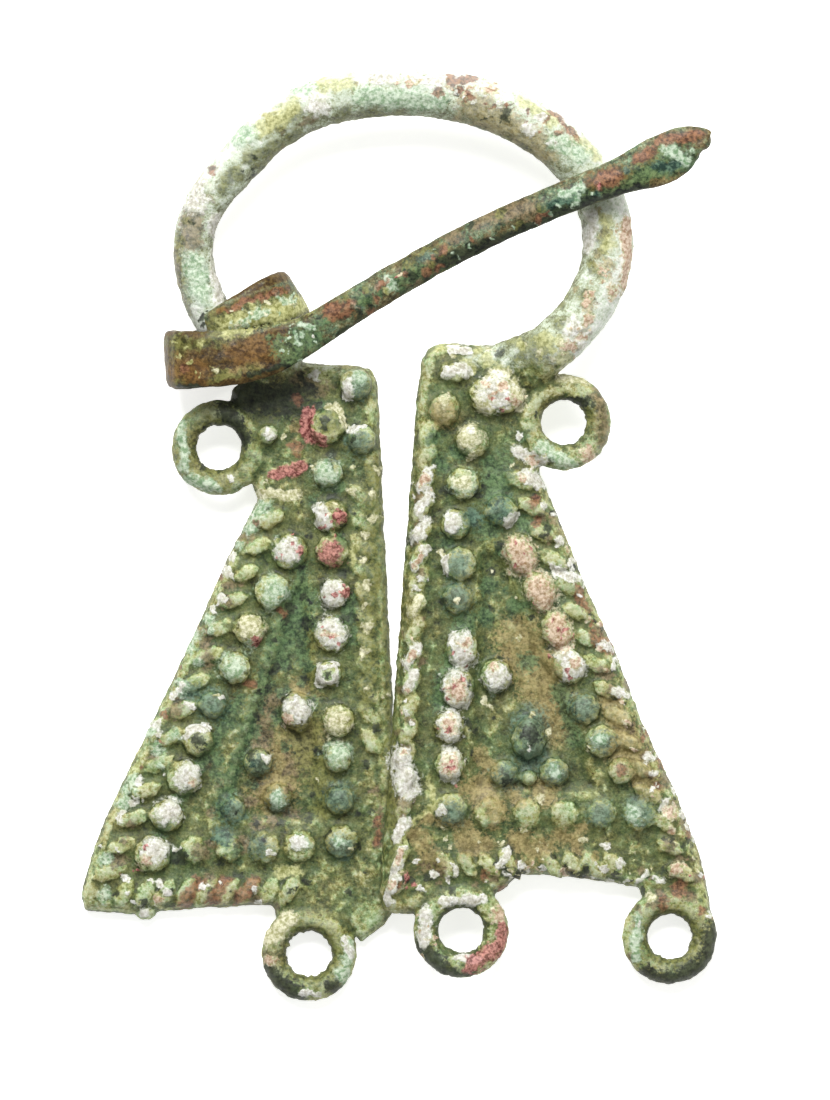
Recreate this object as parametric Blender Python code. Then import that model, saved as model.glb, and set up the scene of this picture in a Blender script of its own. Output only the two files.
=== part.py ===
"""Penannular brooch of cast copper alloy with a wrought pin, lying as found on a flat surface.

The hoop is an oval rod. Its two ends are long flared plates with a rope border, rows of round
beads and cast loops. One lower loop is lost. The pin's head is a flat strap wound round the left
arm of the hoop, and its shaft rests on the right arm.

Plan: x runs right, y runs up the picture, z is up from the surface, all in metres. Places on a
plate are given as (out, down): out from its inner edge as a share of the plate's width, and down
from its top as a share of its length.
"""

import math
import random

import bmesh
import bpy
from mathutils import Vector

MM = 0.001

# Hoop
HOOP_WIDTH = 27.5 * MM
HOOP_HEIGHT = 20.0 * MM
ROD_THICKNESS = 3.4 * MM
ROD_WORN_THICKNESS = 2.7 * MM
DENT_DEPTH = 0.75 * MM
BULGE_HEIGHT = 0.35 * MM

# Plates
PLATE_LENGTH = 36.3 * MM
PLATE_WIDTH = 21.3 * MM
PLATE_THICKNESS = 1.4 * MM
PLATE_DROP = 7.95 * MM
SHOULDER = 5.7 * MM
GAP_AT_TOP = 2.6 * MM
OVERLAP_AT_BOTTOM = 1.5 * MM
SEAM_OFFSET = -0.2 * MM
SEAM_DRIFT = -0.45 * MM
EDGE_DRAFT = 0.55 * MM
FIELD_DEPTH = 0.35 * MM

# Loops
LOOP_BORE = 2.9 * MM
LOOP_THICKNESS = 1.8 * MM
STUMP_LENGTH = 1.5 * MM
STUMP_WIDTH = 1.3 * MM
STUMP_HEIGHT = 1.0 * MM

# Beads and rope borders
BEAD_DIAMETER = 2.25 * MM
BEAD_HEIGHT = 0.85 * MM
BEAD_INSET = 3.8 * MM
BEAD_INSET_OUTER_RIGHT = 3.45 * MM
ROPE_HEIGHT = 0.45 * MM
STRAND_LENGTH = 2.6 * MM
STRAND_WIDTH = 1.3 * MM
ROPE_INSET = 1.55 * MM
ROPE_INSET_INNER_RIGHT = 1.12 * MM
BASE_ROPE_INSET = 1.2 * MM

# Pin
PIN_REACH = 28.8 * MM
PIN_SLOPE = math.radians(25.0)
PIN_BOW = 1.15 * MM
# How far the tip bends back up from the bow, and the share of the pin where that begins
TIP_RISE = 0.3 * MM
TIP_RISE_START = 0.72
SHAFT_WIDTH = 2.3 * MM
SHAFT_THICKNESS = 1.9 * MM
TIP_WIDTH = 3.45 * MM
TIP_THICKNESS = 1.15 * MM
STRAP_WIDTH = 3.65 * MM
STRAP_THICKNESS = 1.1 * MM
# Where the strap becomes the shaft: along the rod in strap widths, inwards in winding radii
NECK_RUN = 0.96
NECK_REACH = 1.34

# The rod's end inside a plate, as shares of the plate's thickness and of the rod's own
ROD_END_HEIGHT = 1.08
ROD_END_WIDTH = 1.25

# Fits
WINDING_CLEARANCE = 0.5 * MM
RESTING_GAP = 0.3 * MM

# Angles round the oval: 0 is right, 90 is the top, 180 is left
HINGE_ANGLE = math.radians(219)
DENT_ANGLE = math.radians(148)
BULGE_ANGLE = math.radians(213)
DENT_SPREAD = math.radians(20)
WORN_ANGLE = math.radians(182)
WORN_SPREAD = math.radians(50)
RISE_START = math.radians(8)
TERMINAL_BLEND = math.radians(17)

# Fineness of the faceted forms
ROD_SIDES = 12
ROD_STEPS = 40
LOOP_SIDES = 8
LOOP_STEPS = 16
BEAD_SIDES = 8
STRAND_SIDES = 6
PIN_SIDES = 10
# Edges that bend by more than this are drawn sharp
SHARP_ANGLE = math.radians(40)

# How the strands lie in each rope border, from the picture's x towards its y
LEFT_INNER_LAY = math.radians(128)
LEFT_OUTER_LAY = math.radians(24)
LEFT_BASE_LAY = math.radians(58)
RIGHT_INNER_LAY = math.radians(62)
RIGHT_OUTER_LAY = math.radians(152)
RIGHT_BASE_LAY = math.radians(126)

LEFT = -1
RIGHT = 1

# A plate's outer edge is the outline's points further out than this
OUTER_EDGE_START = 0.39

LEFT_OUTLINE = (
    (0.026, 0.009), (0.002, 0.031), (-0.002, 0.978), (0.028, 1.004), (0.055, 1.026), (0.129, 1.058),
    (0.179, 1.029), (0.387, 1.022), (0.403, 0.990), (0.627, 0.996), (0.752, 1.002), (0.845, 1.007),
    (0.988, 1.000), (0.998, 0.974), (0.976, 0.927), (0.920, 0.842), (0.774, 0.678), (0.625, 0.514),
    (0.492, 0.352), (0.391, 0.250), (0.413, 0.209), (0.406, 0.113), (0.462, 0.075),
    (0.460, 0.050), (0.360, -0.002), (0.273, -0.009), (0.214, 0.000), (0.072, 0.004),
)
RIGHT_OUTLINE = (
    (0.031, -0.026), (0.012, -0.002), (0.006, 0.049), (-0.004, 0.964), (0.009, 0.995), (0.041, 1.005),
    (0.125, 1.005), (0.200, 0.984), (0.309, 0.984), (0.387, 0.960), (0.427, 0.934), (0.552, 0.936),
    (0.677, 0.945), (0.803, 0.958), (0.821, 0.985), (0.961, 0.985), (1.038, 1.011), (1.025, 0.974),
    (0.985, 0.896), (0.901, 0.787), (0.798, 0.678), (0.668, 0.514), (0.571, 0.404), (0.462, 0.268),
    (0.408, 0.202), (0.398, 0.158), (0.396, 0.104), (0.402, 0.064), (0.440, 0.015), (0.380, -0.020),
    (0.254, -0.031), (0.130, -0.035), (0.067, -0.035),
)
LEFT_FIELD = ((0.255, 0.400), (0.235, 0.835), (0.560, 0.835), (0.300, 0.420))
RIGHT_FIELD = ((0.235, 0.340), (0.250, 0.780), (0.660, 0.780), (0.300, 0.345))

LOOPS = {
    LEFT: ((0.505, 0.155), (0.295, 1.078)),
    RIGHT: ((0.469, 0.109), (0.259, 1.035), (0.909, 1.047)),
}
LOST_LOOP_STUMP = (0.795, 1.000)

# Outlines of the raised forms: height and spread as shares of the form's own height and width
BEAD_LEVELS = ((-0.35, 1.0), (0.50, 0.97), (0.88, 0.62))
STRAND_LEVELS = ((-0.5, 1.0), (0.72, 0.80))


def bell(angle, centre, spread):
    """A smooth hump of height 1 round an angle."""
    return math.exp(-((angle - centre) / spread) ** 2)


def smooth_step(value):
    """Ease from 0 to 1 while the value runs from 0 to 1."""
    share = min(max(value, 0.0), 1.0)
    return share * share * (3.0 - 2.0 * share)


def blend(start, end, share):
    return start + (end - start) * share


def hoop_point(angle):
    """The rod's centre in plan, on an oval with a dent at the upper left and a bulge below it."""
    swelling = BULGE_HEIGHT * bell(angle, BULGE_ANGLE, DENT_SPREAD)
    swelling -= DENT_DEPTH * bell(angle, DENT_ANGLE, DENT_SPREAD)
    across = HOOP_WIDTH / 2 + swelling
    along = HOOP_HEIGHT / 2 + swelling
    return Vector((across * math.cos(angle), along * math.sin(angle), 0.0))


def hoop_direction(angle):
    """The rod's direction in plan, anticlockwise."""
    step = math.radians(0.5)
    return (hoop_point(angle + step) - hoop_point(angle - step)).normalized()


def rod_thickness(angle):
    """The rod is rubbed thinner on the left arm, where the pin has run."""
    worn = bell(angle, WORN_ANGLE, WORN_SPREAD)
    return blend(ROD_THICKNESS, ROD_WORN_THICKNESS, worn)


def seam_gap(down):
    return blend(GAP_AT_TOP, -OVERLAP_AT_BOTTOM, down)


def plate_point(side, out, down):
    """A place on a plate in plan, from its share outwards and its share down."""
    seam = SEAM_OFFSET + SEAM_DRIFT * down
    x = seam + side * (seam_gap(down) / 2 + out * PLATE_WIDTH)
    return Vector((x, -PLATE_DROP - down * PLATE_LENGTH, 0.0))


def edge_point(outline, side, inset, down):
    """A place a set distance in from the plate's outer edge, at a share down the plate."""
    outer = [point for point in outline if point[0] > OUTER_EDGE_START]
    for upper, lower in zip(outer[1:], outer):
        if upper[1] <= down <= lower[1] and lower[0] > upper[0]:
            share = (down - upper[1]) / (lower[1] - upper[1])
            out = blend(upper[0], lower[0], share)
            return plate_point(side, out - inset / PLATE_WIDTH, down)
    return plate_point(side, OUTER_EDGE_START - inset / PLATE_WIDTH, down)


# How the brooch lies: the strap under the left arm lifts the hoop, both plates touch the surface
# with their lowest loop, and the right plate is rolled so that its inner edge lies on the left one.
LOOP_REACH = LOOP_BORE / 2 + LOOP_THICKNESS
HOOP_LIFT = STRAP_THICKNESS + WINDING_CLEARANCE
LEFT_FOOT = plate_point(LEFT, *LOOPS[LEFT][-1]) - Vector((0.0, LOOP_REACH, 0.0))
RIGHT_FOOT = plate_point(RIGHT, *LOOPS[RIGHT][-1])
LEAN = HOOP_LIFT / (hoop_point(HINGE_ANGLE).y - LEFT_FOOT.y)
OVERLAP_START = GAP_AT_TOP / (GAP_AT_TOP + OVERLAP_AT_BOTTOM)


def lean_height(y):
    """The height of the plane that the hoop's and the left plate's undersides lie in."""
    return LEAN * (y - LEFT_FOOT.y)


def right_roll():
    """The right plate's sideways slope, and the x where it meets the leaning plane."""
    rise = PLATE_THICKNESS + RESTING_GAP
    seam_x = plate_point(RIGHT, 0.0, OVERLAP_START).x
    pivot_x = RIGHT_FOOT.x
    roll = rise / (pivot_x - seam_x)
    for _ in range(8):
        dip = LOOP_REACH * math.hypot(LEAN, roll) - lean_height(RIGHT_FOOT.y)
        pivot_x = RIGHT_FOOT.x + dip / roll
        roll = rise / (pivot_x - seam_x)
    return roll, pivot_x


ROLL, ROLL_PIVOT = right_roll()
END_ANGLE = math.acos((GAP_AT_TOP / 2 + SHOULDER) / (HOOP_WIDTH / 2))


def underside(side, x, y):
    """The height of a plate's underside."""
    if side == LEFT:
        return lean_height(y)
    return lean_height(y) + ROLL * (ROLL_PIVOT - x)


def rod_underside(angle):
    """The rod follows the leaning plane, then its right arm climbs to the right plate."""
    point = hoop_point(angle)
    climb = smooth_step((RISE_START - angle) / (RISE_START + END_ANGLE))
    end = hoop_point(-END_ANGLE)
    return lean_height(point.y) + climb * (underside(RIGHT, end.x, end.y) - lean_height(end.y))


def material(name, colour, roughness, metallic):
    made = bpy.data.materials.new(name)
    made.use_nodes = True
    shader = made.node_tree.nodes["Principled BSDF"]
    shader.inputs["Base Color"].default_value = (*colour, 1.0)
    shader.inputs["Roughness"].default_value = roughness
    shader.inputs["Metallic"].default_value = metallic
    return made


def mesh_object(name, shape):
    """Turn a finished bmesh into an object with its faces pointing out."""
    bmesh.ops.recalc_face_normals(shape, faces=shape.faces)
    mesh = bpy.data.meshes.new(name)
    shape.to_mesh(mesh)
    shape.free()
    made = bpy.data.objects.new(name, mesh)
    bpy.context.scene.collection.objects.link(made)
    return made


def skin_rings(name, rings):
    """A closed body through rings of points, with flat ends."""
    shape = bmesh.new()
    loops = [[shape.verts.new(point) for point in ring] for ring in rings]
    count = len(loops[0])
    for lower, upper in zip(loops, loops[1:]):
        for i in range(count):
            j = (i + 1) % count
            shape.faces.new((lower[i], lower[j], upper[j], upper[i]))
    shape.faces.new(reversed(loops[0]))
    shape.faces.new(loops[-1])
    return mesh_object(name, shape)


def section_ring(centre, across, upward, width, height, squareness, sides):
    """A rounded section: squareness 1 is an oval, and lower values fill its corners."""
    ring = []
    for i in range(sides):
        angle = 2 * math.pi * (i + 0.5) / sides
        reach_x = math.copysign(abs(math.cos(angle)) ** squareness, math.cos(angle))
        reach_y = math.copysign(abs(math.sin(angle)) ** squareness, math.sin(angle))
        ring.append(centre + across * (reach_x * width / 2) + upward * (reach_y * height / 2))
    return ring


def build_rod():
    """The oval rod, from inside the right plate round over the top to inside the left plate."""
    start = -END_ANGLE
    end = math.pi + END_ANGLE
    rings = []
    for i in range(ROD_STEPS + 1):
        angle = blend(start, end, i / ROD_STEPS)
        from_end = min(angle - start, end - angle)
        merge = 1.0 - smooth_step(from_end / TERMINAL_BLEND)
        thickness = rod_thickness(angle)
        height = blend(thickness, ROD_END_HEIGHT * PLATE_THICKNESS, merge)
        width = blend(thickness, ROD_END_WIDTH * thickness, merge)
        centre = hoop_point(angle)
        centre.z = rod_underside(angle) + height / 2
        direction = hoop_direction(angle)
        across = Vector((direction.y, -direction.x, 0.0))
        rings.append(section_ring(centre, across, Vector((0, 0, 1)), width, height, 1.0, ROD_SIDES))
    return skin_rings("rod", rings)


def inset_outline(points, distance):
    """Move a closed outline inwards, each corner along the mean of its two edges' normals."""
    moved = []
    count = len(points)
    for i, point in enumerate(points):
        before = (point - points[i - 1]).normalized()
        after = (points[(i + 1) % count] - point).normalized()
        inward = Vector((-before.y - after.y, before.x + after.x, 0.0)).normalized()
        moved.append(point + inward * distance)
    return moved


def plate_outline(side, shares):
    points = [plate_point(side, out, down) for out, down in shares]
    area = sum(a.x * b.y - b.x * a.y for a, b in zip(points, points[1:] + points[:1]))
    if area < 0:
        points.reverse()
    return points


def build_slab(side, shares):
    """The plate's body: a flat underside, and edges that draw in towards the top."""
    outline = plate_outline(side, shares)
    profile = (
        (0.0, 0.25 * EDGE_DRAFT),
        (0.25, 0.0),
        (0.70, 0.35 * EDGE_DRAFT),
        (1.0, EDGE_DRAFT),
    )
    rings = []
    for level, inset in profile:
        height = Vector((0.0, 0.0, level * PLATE_THICKNESS))
        rings.append([point + height for point in inset_outline(outline, inset)])
    return skin_rings("slab", rings)


def build_field(side, shares):
    """The cutter for the sunk field inside the rows of beads."""
    outline = plate_outline(side, shares)
    floor = PLATE_THICKNESS - FIELD_DEPTH
    levels = ((floor, FIELD_DEPTH), (PLATE_THICKNESS, 0.0), (PLATE_THICKNESS + FIELD_DEPTH, 0.0))
    rings = []
    for height, inset in levels:
        rings.append([point + Vector((0, 0, height)) for point in inset_outline(outline, inset)])
    return skin_rings("field", rings)


def build_dome(place, length, width, height, turn, sides, base, levels, point_at=0.0):
    """A low dome that starts inside the plate; levels give its outline as shares of its size."""
    along = Vector((math.cos(turn), math.sin(turn), 0.0))
    aside = Vector((-along.y, along.x, 0.0))
    shape = bmesh.new()
    rings = []
    for level, spread in levels:
        ring = []
        for i in range(sides):
            angle = 2 * math.pi * i / sides
            stretch = 1.0 + point_at * max(0.0, math.cos(angle)) ** 3
            offset = along * (math.cos(angle) * spread * stretch * length / 2)
            offset += aside * (math.sin(angle) * spread * width / 2)
            ring.append(shape.verts.new(place + offset + Vector((0, 0, base + level * height))))
        rings.append(ring)
    crown = shape.verts.new(place + Vector((0, 0, base + height)))
    for lower, upper in zip(rings, rings[1:]):
        for i in range(sides):
            j = (i + 1) % sides
            shape.faces.new((lower[i], lower[j], upper[j], upper[i]))
    for i in range(sides):
        shape.faces.new((rings[-1][i], rings[-1][(i + 1) % sides], crown))
    shape.faces.new(reversed(rings[0]))
    return mesh_object("dome", shape)


def build_bead(place, size, base, turn, height=1.0, stretch=1.0, point_at=0.0):
    """A round bead; size, height and stretch are shares of the named bead."""
    width = size * BEAD_DIAMETER
    raised = height * BEAD_HEIGHT
    args = (width * stretch, width, raised, turn, BEAD_SIDES, base, BEAD_LEVELS, point_at)
    return build_dome(place, *args)


def bead_row(start, end, sizes, base, wander, strays=None, longer=None, rise=1.0):
    """Beads evenly spaced from start to end; rise is their height as a share.

    strays moves some, in shares of a bead's width, and longer stretches some along the row.
    """
    row_turn = math.atan2(end.y - start.y, end.x - start.x)
    beads = []
    for i, size in enumerate(sizes):
        place = start.lerp(end, i / (len(sizes) - 1))
        nudge = (strays or {}).get(i, (0.0, 0.0))
        place = place + Vector((*nudge, 0.0)) * BEAD_DIAMETER
        stretch = (longer or {}).get(i, 1.0)
        turn = wander.uniform(0.0, math.pi)
        if stretch > 1.0:
            turn = row_turn
        height = rise * wander.uniform(0.88, 1.05)
        beads.append(build_bead(place, size, base, turn, height, stretch))
    return beads


def rope_band(start, end, count, lay, wander, rise=1.0, wear=()):
    """Slanting strands along a border; rise is their height as a share, wear lists lost ones."""
    strands = []
    for i in range(count):
        if i in wear:
            continue
        place = start.lerp(end, i / (count - 1))
        turn = lay + wander.uniform(-0.09, 0.09)
        length = STRAND_LENGTH * wander.uniform(0.9, 1.08)
        height = rise * ROPE_HEIGHT * wander.uniform(0.8, 1.1)
        args = (length, STRAND_WIDTH, height, turn, STRAND_SIDES, PLATE_THICKNESS, STRAND_LEVELS)
        strands.append(build_dome(place, *args))
    return strands


def inner_point(side, inset, down):
    return plate_point(side, inset / PLATE_WIDTH, down)


def left_relief():
    """Beads and rope of the left plate."""
    wander = random.Random(11)
    top = PLATE_THICKNESS
    field = top - FIELD_DEPTH
    pieces = []
    sizes = (1.1, 0.93, 1.0, 1.02, 0.92, 1.12, 0.80, 1.0, 0.88, 0.90, 1.05)
    strays = {0: (0.12, 0.0), 1: (0.1, -0.14), 2: (0.133, -0.178), 3: (0.111, 0.0), 4: (0.133, 0.0)}
    strays.update({6: (-0.156, 0.067), 7: (0.089, -0.111)})
    start = inner_point(LEFT, BEAD_INSET, 0.117)
    end = inner_point(LEFT, BEAD_INSET, 0.873)
    pieces += bead_row(start, end, sizes, top, wander, strays)
    sizes = (1.1, 1.12, 0.98, 1.0, 0.86, 1.0, 1.14, 1.02, 1.16)
    start = edge_point(LEFT_OUTLINE, LEFT, BEAD_INSET, 0.337)
    end = edge_point(LEFT_OUTLINE, LEFT, BEAD_INSET, 0.896)
    strays = {0: (0.0, -0.12), 1: (0.0, -0.156), 2: (-0.13, -0.15), 3: (-0.05, -0.17)}
    strays.update({4: (-0.2, -0.12), 5: (-0.1, -0.06), 8: (0.1, 0.0)})
    pieces += bead_row(start, end, sizes, top, wander, strays)
    start = plate_point(LEFT, 0.641, 0.888)
    end = plate_point(LEFT, 0.308, 0.882)
    pieces += bead_row(start, end, (0.85, 0.9, 0.98, 1.02), top, wander, rise=0.7)
    for out, down, size in ((0.071, 0.040, 0.98), (0.060, 0.140, 0.88), (0.351, 0.131, 0.62)):
        pieces.append(build_bead(plate_point(LEFT, out, down), size, top, 0.3))
    for out, down, size in ((0.427, 0.729, 0.88), (0.511, 0.814, 0.8), (0.370, 0.792, 0.9)):
        pieces.append(build_bead(plate_point(LEFT, out, down), size, field, 0.9, 1.15))
    teardrop = plate_point(LEFT, 0.299, 0.634)
    pieces.append(build_bead(teardrop, 1.05, field, math.radians(-80), 1.4, 1.1, 0.22))
    start = inner_point(LEFT, ROPE_INSET, 0.245)
    end = inner_point(LEFT, ROPE_INSET, 0.690)
    pieces += rope_band(start, end, 11, LEFT_INNER_LAY, wander, rise=0.6)
    start = edge_point(LEFT_OUTLINE, LEFT, ROPE_INSET, 0.285)
    end = edge_point(LEFT_OUTLINE, LEFT, ROPE_INSET, 0.930)
    pieces += rope_band(start, end, 14, LEFT_OUTER_LAY, wander)
    base = -BASE_ROPE_INSET / PLATE_LENGTH
    start = plate_point(LEFT, 0.86, 1.0 + base)
    end = plate_point(LEFT, 0.345, 0.995 + base)
    pieces += rope_band(start, end, 9, LEFT_BASE_LAY, wander)
    return pieces


def right_relief():
    """Beads and rope of the right plate, with the cluster in its field."""
    wander = random.Random(23)
    top = PLATE_THICKNESS
    field = top - FIELD_DEPTH
    pieces = []
    sizes = (1.02, 1.0, 0.95, 1.07, 0.95, 1.0, 1.06, 0.93, 0.95, 1.04)
    start = inner_point(RIGHT, BEAD_INSET, 0.137)
    end = inner_point(RIGHT, BEAD_INSET, 0.814)
    strays = {0: (0.089, -0.12), 1: (-0.089, -0.13), 2: (-0.22, -0.13), 3: (-0.03, -0.05), 4: (0.0, 0.13)}
    strays.update({5: (0.2, -0.13), 6: (0.15, -0.05), 8: (0.1, 0.1), 9: (0.21, 0.0)})
    longer = {5: 1.2, 6: 1.2, 7: 1.1}
    pieces += bead_row(start, end, sizes, top, wander, strays, longer)
    sizes = (0.98, 1.0, 0.97, 0.97, 1.0, 0.96, 1.05, 0.85)
    start = edge_point(RIGHT_OUTLINE, RIGHT, BEAD_INSET_OUTER_RIGHT, 0.273)
    end = edge_point(RIGHT_OUTLINE, RIGHT, BEAD_INSET_OUTER_RIGHT, 0.736)
    strays = {0: (-0.111, 0.044), 1: (0.03, -0.16), 2: (0.12, -0.18), 3: (0.2, -0.27), 4: (0.1, -0.27)}
    strays.update({5: (0.1, -0.45), 6: (0.17, -0.33), 7: (0.3, -0.12)})
    longer = {1: 1.28, 2: 1.26, 3: 1.25, 4: 1.12}
    pieces += bead_row(start, end, sizes, top, wander, strays, longer)
    start = plate_point(RIGHT, 0.322, 0.821)
    end = plate_point(RIGHT, 0.788, 0.823)
    pieces += bead_row(start, end, (0.94, 0.9, 0.9, 0.9, 1.05), top, wander, rise=0.7)
    pieces.append(build_bead(plate_point(RIGHT, 0.097, 0.086), 0.98, top, 0.2))
    pieces.append(build_bead(plate_point(RIGHT, 0.120, 0.018), 0.62, top, 0.1, 0.7, 1.5))
    knob = plate_point(RIGHT, 0.246, 0.060)
    pieces.append(build_bead(knob, 1.24, top, math.radians(-8), 1.15, 1.25, 0.22))
    pieces.append(build_bead(plate_point(RIGHT, 0.312, 0.571), 0.98, field, 1.5, 1.3, 1.12))
    cluster = plate_point(RIGHT, 0.427, 0.687)
    pieces.append(build_bead(cluster, 1.08, field, math.radians(88), 1.45, 1.12, 0.25))
    for out, down, size in ((0.359, 0.750, 0.88), (0.514, 0.747, 0.9), (0.437, 0.757, 0.5)):
        pieces.append(build_bead(plate_point(RIGHT, out, down), size, field, 0.4, 1.1))
    start = inner_point(RIGHT, ROPE_INSET_INNER_RIGHT, 0.125)
    end = inner_point(RIGHT, ROPE_INSET_INNER_RIGHT, 0.945)
    pieces += rope_band(start, end, 19, RIGHT_INNER_LAY, wander)
    start = edge_point(RIGHT_OUTLINE, RIGHT, ROPE_INSET, 0.215)
    end = edge_point(RIGHT_OUTLINE, RIGHT, ROPE_INSET, 0.930)
    pieces += rope_band(start, end, 16, RIGHT_OUTER_LAY, wander)
    base = -BASE_ROPE_INSET / PLATE_LENGTH
    start = plate_point(RIGHT, 0.20, 0.948 + base)
    end = plate_point(RIGHT, 0.72, 0.948 + base)
    pieces += rope_band(start, end, 9, RIGHT_BASE_LAY, wander, wear=(4,))
    return pieces


def build_loop(side, out, down):
    """A cast loop: a round bar bent into a ring, level with the plate's underside."""
    centre = plate_point(side, out, down)
    centre.z = LOOP_THICKNESS / 2
    radius = (LOOP_BORE + LOOP_THICKNESS) / 2
    shape = bmesh.new()
    rings = []
    for i in range(LOOP_STEPS):
        around = 2 * math.pi * i / LOOP_STEPS
        outward = Vector((math.cos(around), math.sin(around), 0.0))
        points = section_ring(
            centre + outward * radius, outward, Vector((0, 0, 1)),
            LOOP_THICKNESS, LOOP_THICKNESS, 1.0, LOOP_SIDES,
        )
        rings.append([shape.verts.new(point) for point in points])
    for i, ring in enumerate(rings):
        following = rings[(i + 1) % LOOP_STEPS]
        for j in range(LOOP_SIDES):
            k = (j + 1) % LOOP_SIDES
            shape.faces.new((ring[j], ring[k], following[k], following[j]))
    return mesh_object("loop", shape)


def combine(target, pieces, operation):
    """Join pieces to the target, or cut them from it, and keep one plain mesh."""
    group = bpy.data.collections.new("operands")
    bpy.context.scene.collection.children.link(group)
    for piece in pieces:
        bpy.context.scene.collection.objects.unlink(piece)
        group.objects.link(piece)
    modifier = target.modifiers.new("combine", "BOOLEAN")
    modifier.operation = operation
    modifier.operand_type = "COLLECTION"
    modifier.collection = group
    modifier.solver = "EXACT"
    bpy.context.view_layer.update()
    evaluated = target.evaluated_get(bpy.context.evaluated_depsgraph_get())
    result = bpy.data.meshes.new_from_object(evaluated)
    target.modifiers.clear()
    target.data = result
    for piece in pieces:
        bpy.data.objects.remove(piece, do_unlink=True)
    bpy.data.collections.remove(group)


def build_plate(side):
    """One plate with its relief and loops, set into its place in the leaning brooch."""
    outline = LEFT_OUTLINE if side == LEFT else RIGHT_OUTLINE
    field = LEFT_FIELD if side == LEFT else RIGHT_FIELD
    plate = build_slab(side, outline)
    combine(plate, [build_field(side, field)], "DIFFERENCE")
    pieces = left_relief() if side == LEFT else right_relief()
    pieces += [build_loop(side, out, down) for out, down in LOOPS[side]]
    if side == LEFT:
        stump = plate_point(LEFT, *LOST_LOOP_STUMP)
        size = (STUMP_LENGTH, STUMP_WIDTH, STUMP_HEIGHT)
        args = (*size, math.radians(23), BEAD_SIDES, FIELD_DEPTH, BEAD_LEVELS)
        pieces.append(build_dome(stump, *args))
    combine(plate, pieces, "UNION")
    for vertex in plate.data.vertices:
        vertex.co.z += underside(side, vertex.co.x, vertex.co.y)
    return plate


def build_hoop():
    """The whole casting: rod, plates, relief and loops in one body."""
    hoop = build_rod()
    hoop.name = "hoop"
    combine(hoop, [build_plate(LEFT), build_plate(RIGHT)], "UNION")
    return hoop


def hinge_frame():
    """The hinge point on the rod's centre, the rod's direction there, and the way inwards."""
    point = hoop_point(HINGE_ANGLE)
    point.z = rod_underside(HINGE_ANGLE) + rod_thickness(HINGE_ANGLE) / 2
    along = hoop_direction(HINGE_ANGLE)
    along.z = LEAN * along.y
    along.normalize()
    inward = Vector((-along.y, along.x, 0.0)).normalized()
    return point, along, inward


def winding_radius():
    """Half the height between the middles of the upper and the lower strand of the strap."""
    return rod_thickness(HINGE_ANGLE) / 2 + WINDING_CLEARANCE + STRAP_THICKNESS / 2


# The strap's middle line: along the rod in strap widths, inwards and up in winding radii, then
# the strap's width and thickness as shares, and the plan angle of its width in degrees.
STRAP_COURSE = (
    (-0.60, -0.14, 0.98, 0.30, 0.60, 109),
    (-0.41, 0.28, 1.00, 0.50, 0.85, 110),
    (-0.16, 0.90, 1.00, 0.70, 1.00, 112),
    (0.10, 1.52, 0.76, 0.90, 1.00, 116),
    (0.29, 1.84, 0.00, 0.94, 1.00, 121),
    (0.26, 1.55, -0.80, 0.92, 1.00, 126),
    (0.20, 0.95, -1.00, 0.95, 1.00, 126),
    (0.08, 0.10, -1.00, 1.00, 1.00, 122),
    (-0.20, -0.75, -1.00, 1.04, 1.00, 108),
    (-0.50, -1.28, -0.75, 1.04, 1.00, 98),
    (-0.66, -1.40, 0.00, 1.05, 1.00, 94),
    (-0.54, -1.28, 0.75, 1.04, 1.00, 92),
    (-0.20, -0.90, 1.00, 1.02, 1.00, 92),
    (0.14, -0.45, 1.00, 1.00, 1.00, 96),
    (0.46, 0.08, 1.00, 0.94, 1.05, 104),
    (0.75, 0.72, 1.00, 0.82, 1.15, 112),
)


def crossing_height(start, direction):
    """The height of the shaft's middle where it lies on the hoop's right arm."""
    aside = Vector((-direction.y, direction.x, 0.0))
    angle = 0.0
    while (hoop_point(angle) - start).dot(aside) < 0.0:
        angle += math.radians(0.25)
    top = rod_underside(angle) + rod_thickness(angle)
    distance = (hoop_point(angle) - start).dot(direction)
    return distance, top + RESTING_GAP + SHAFT_THICKNESS / 2


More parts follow.
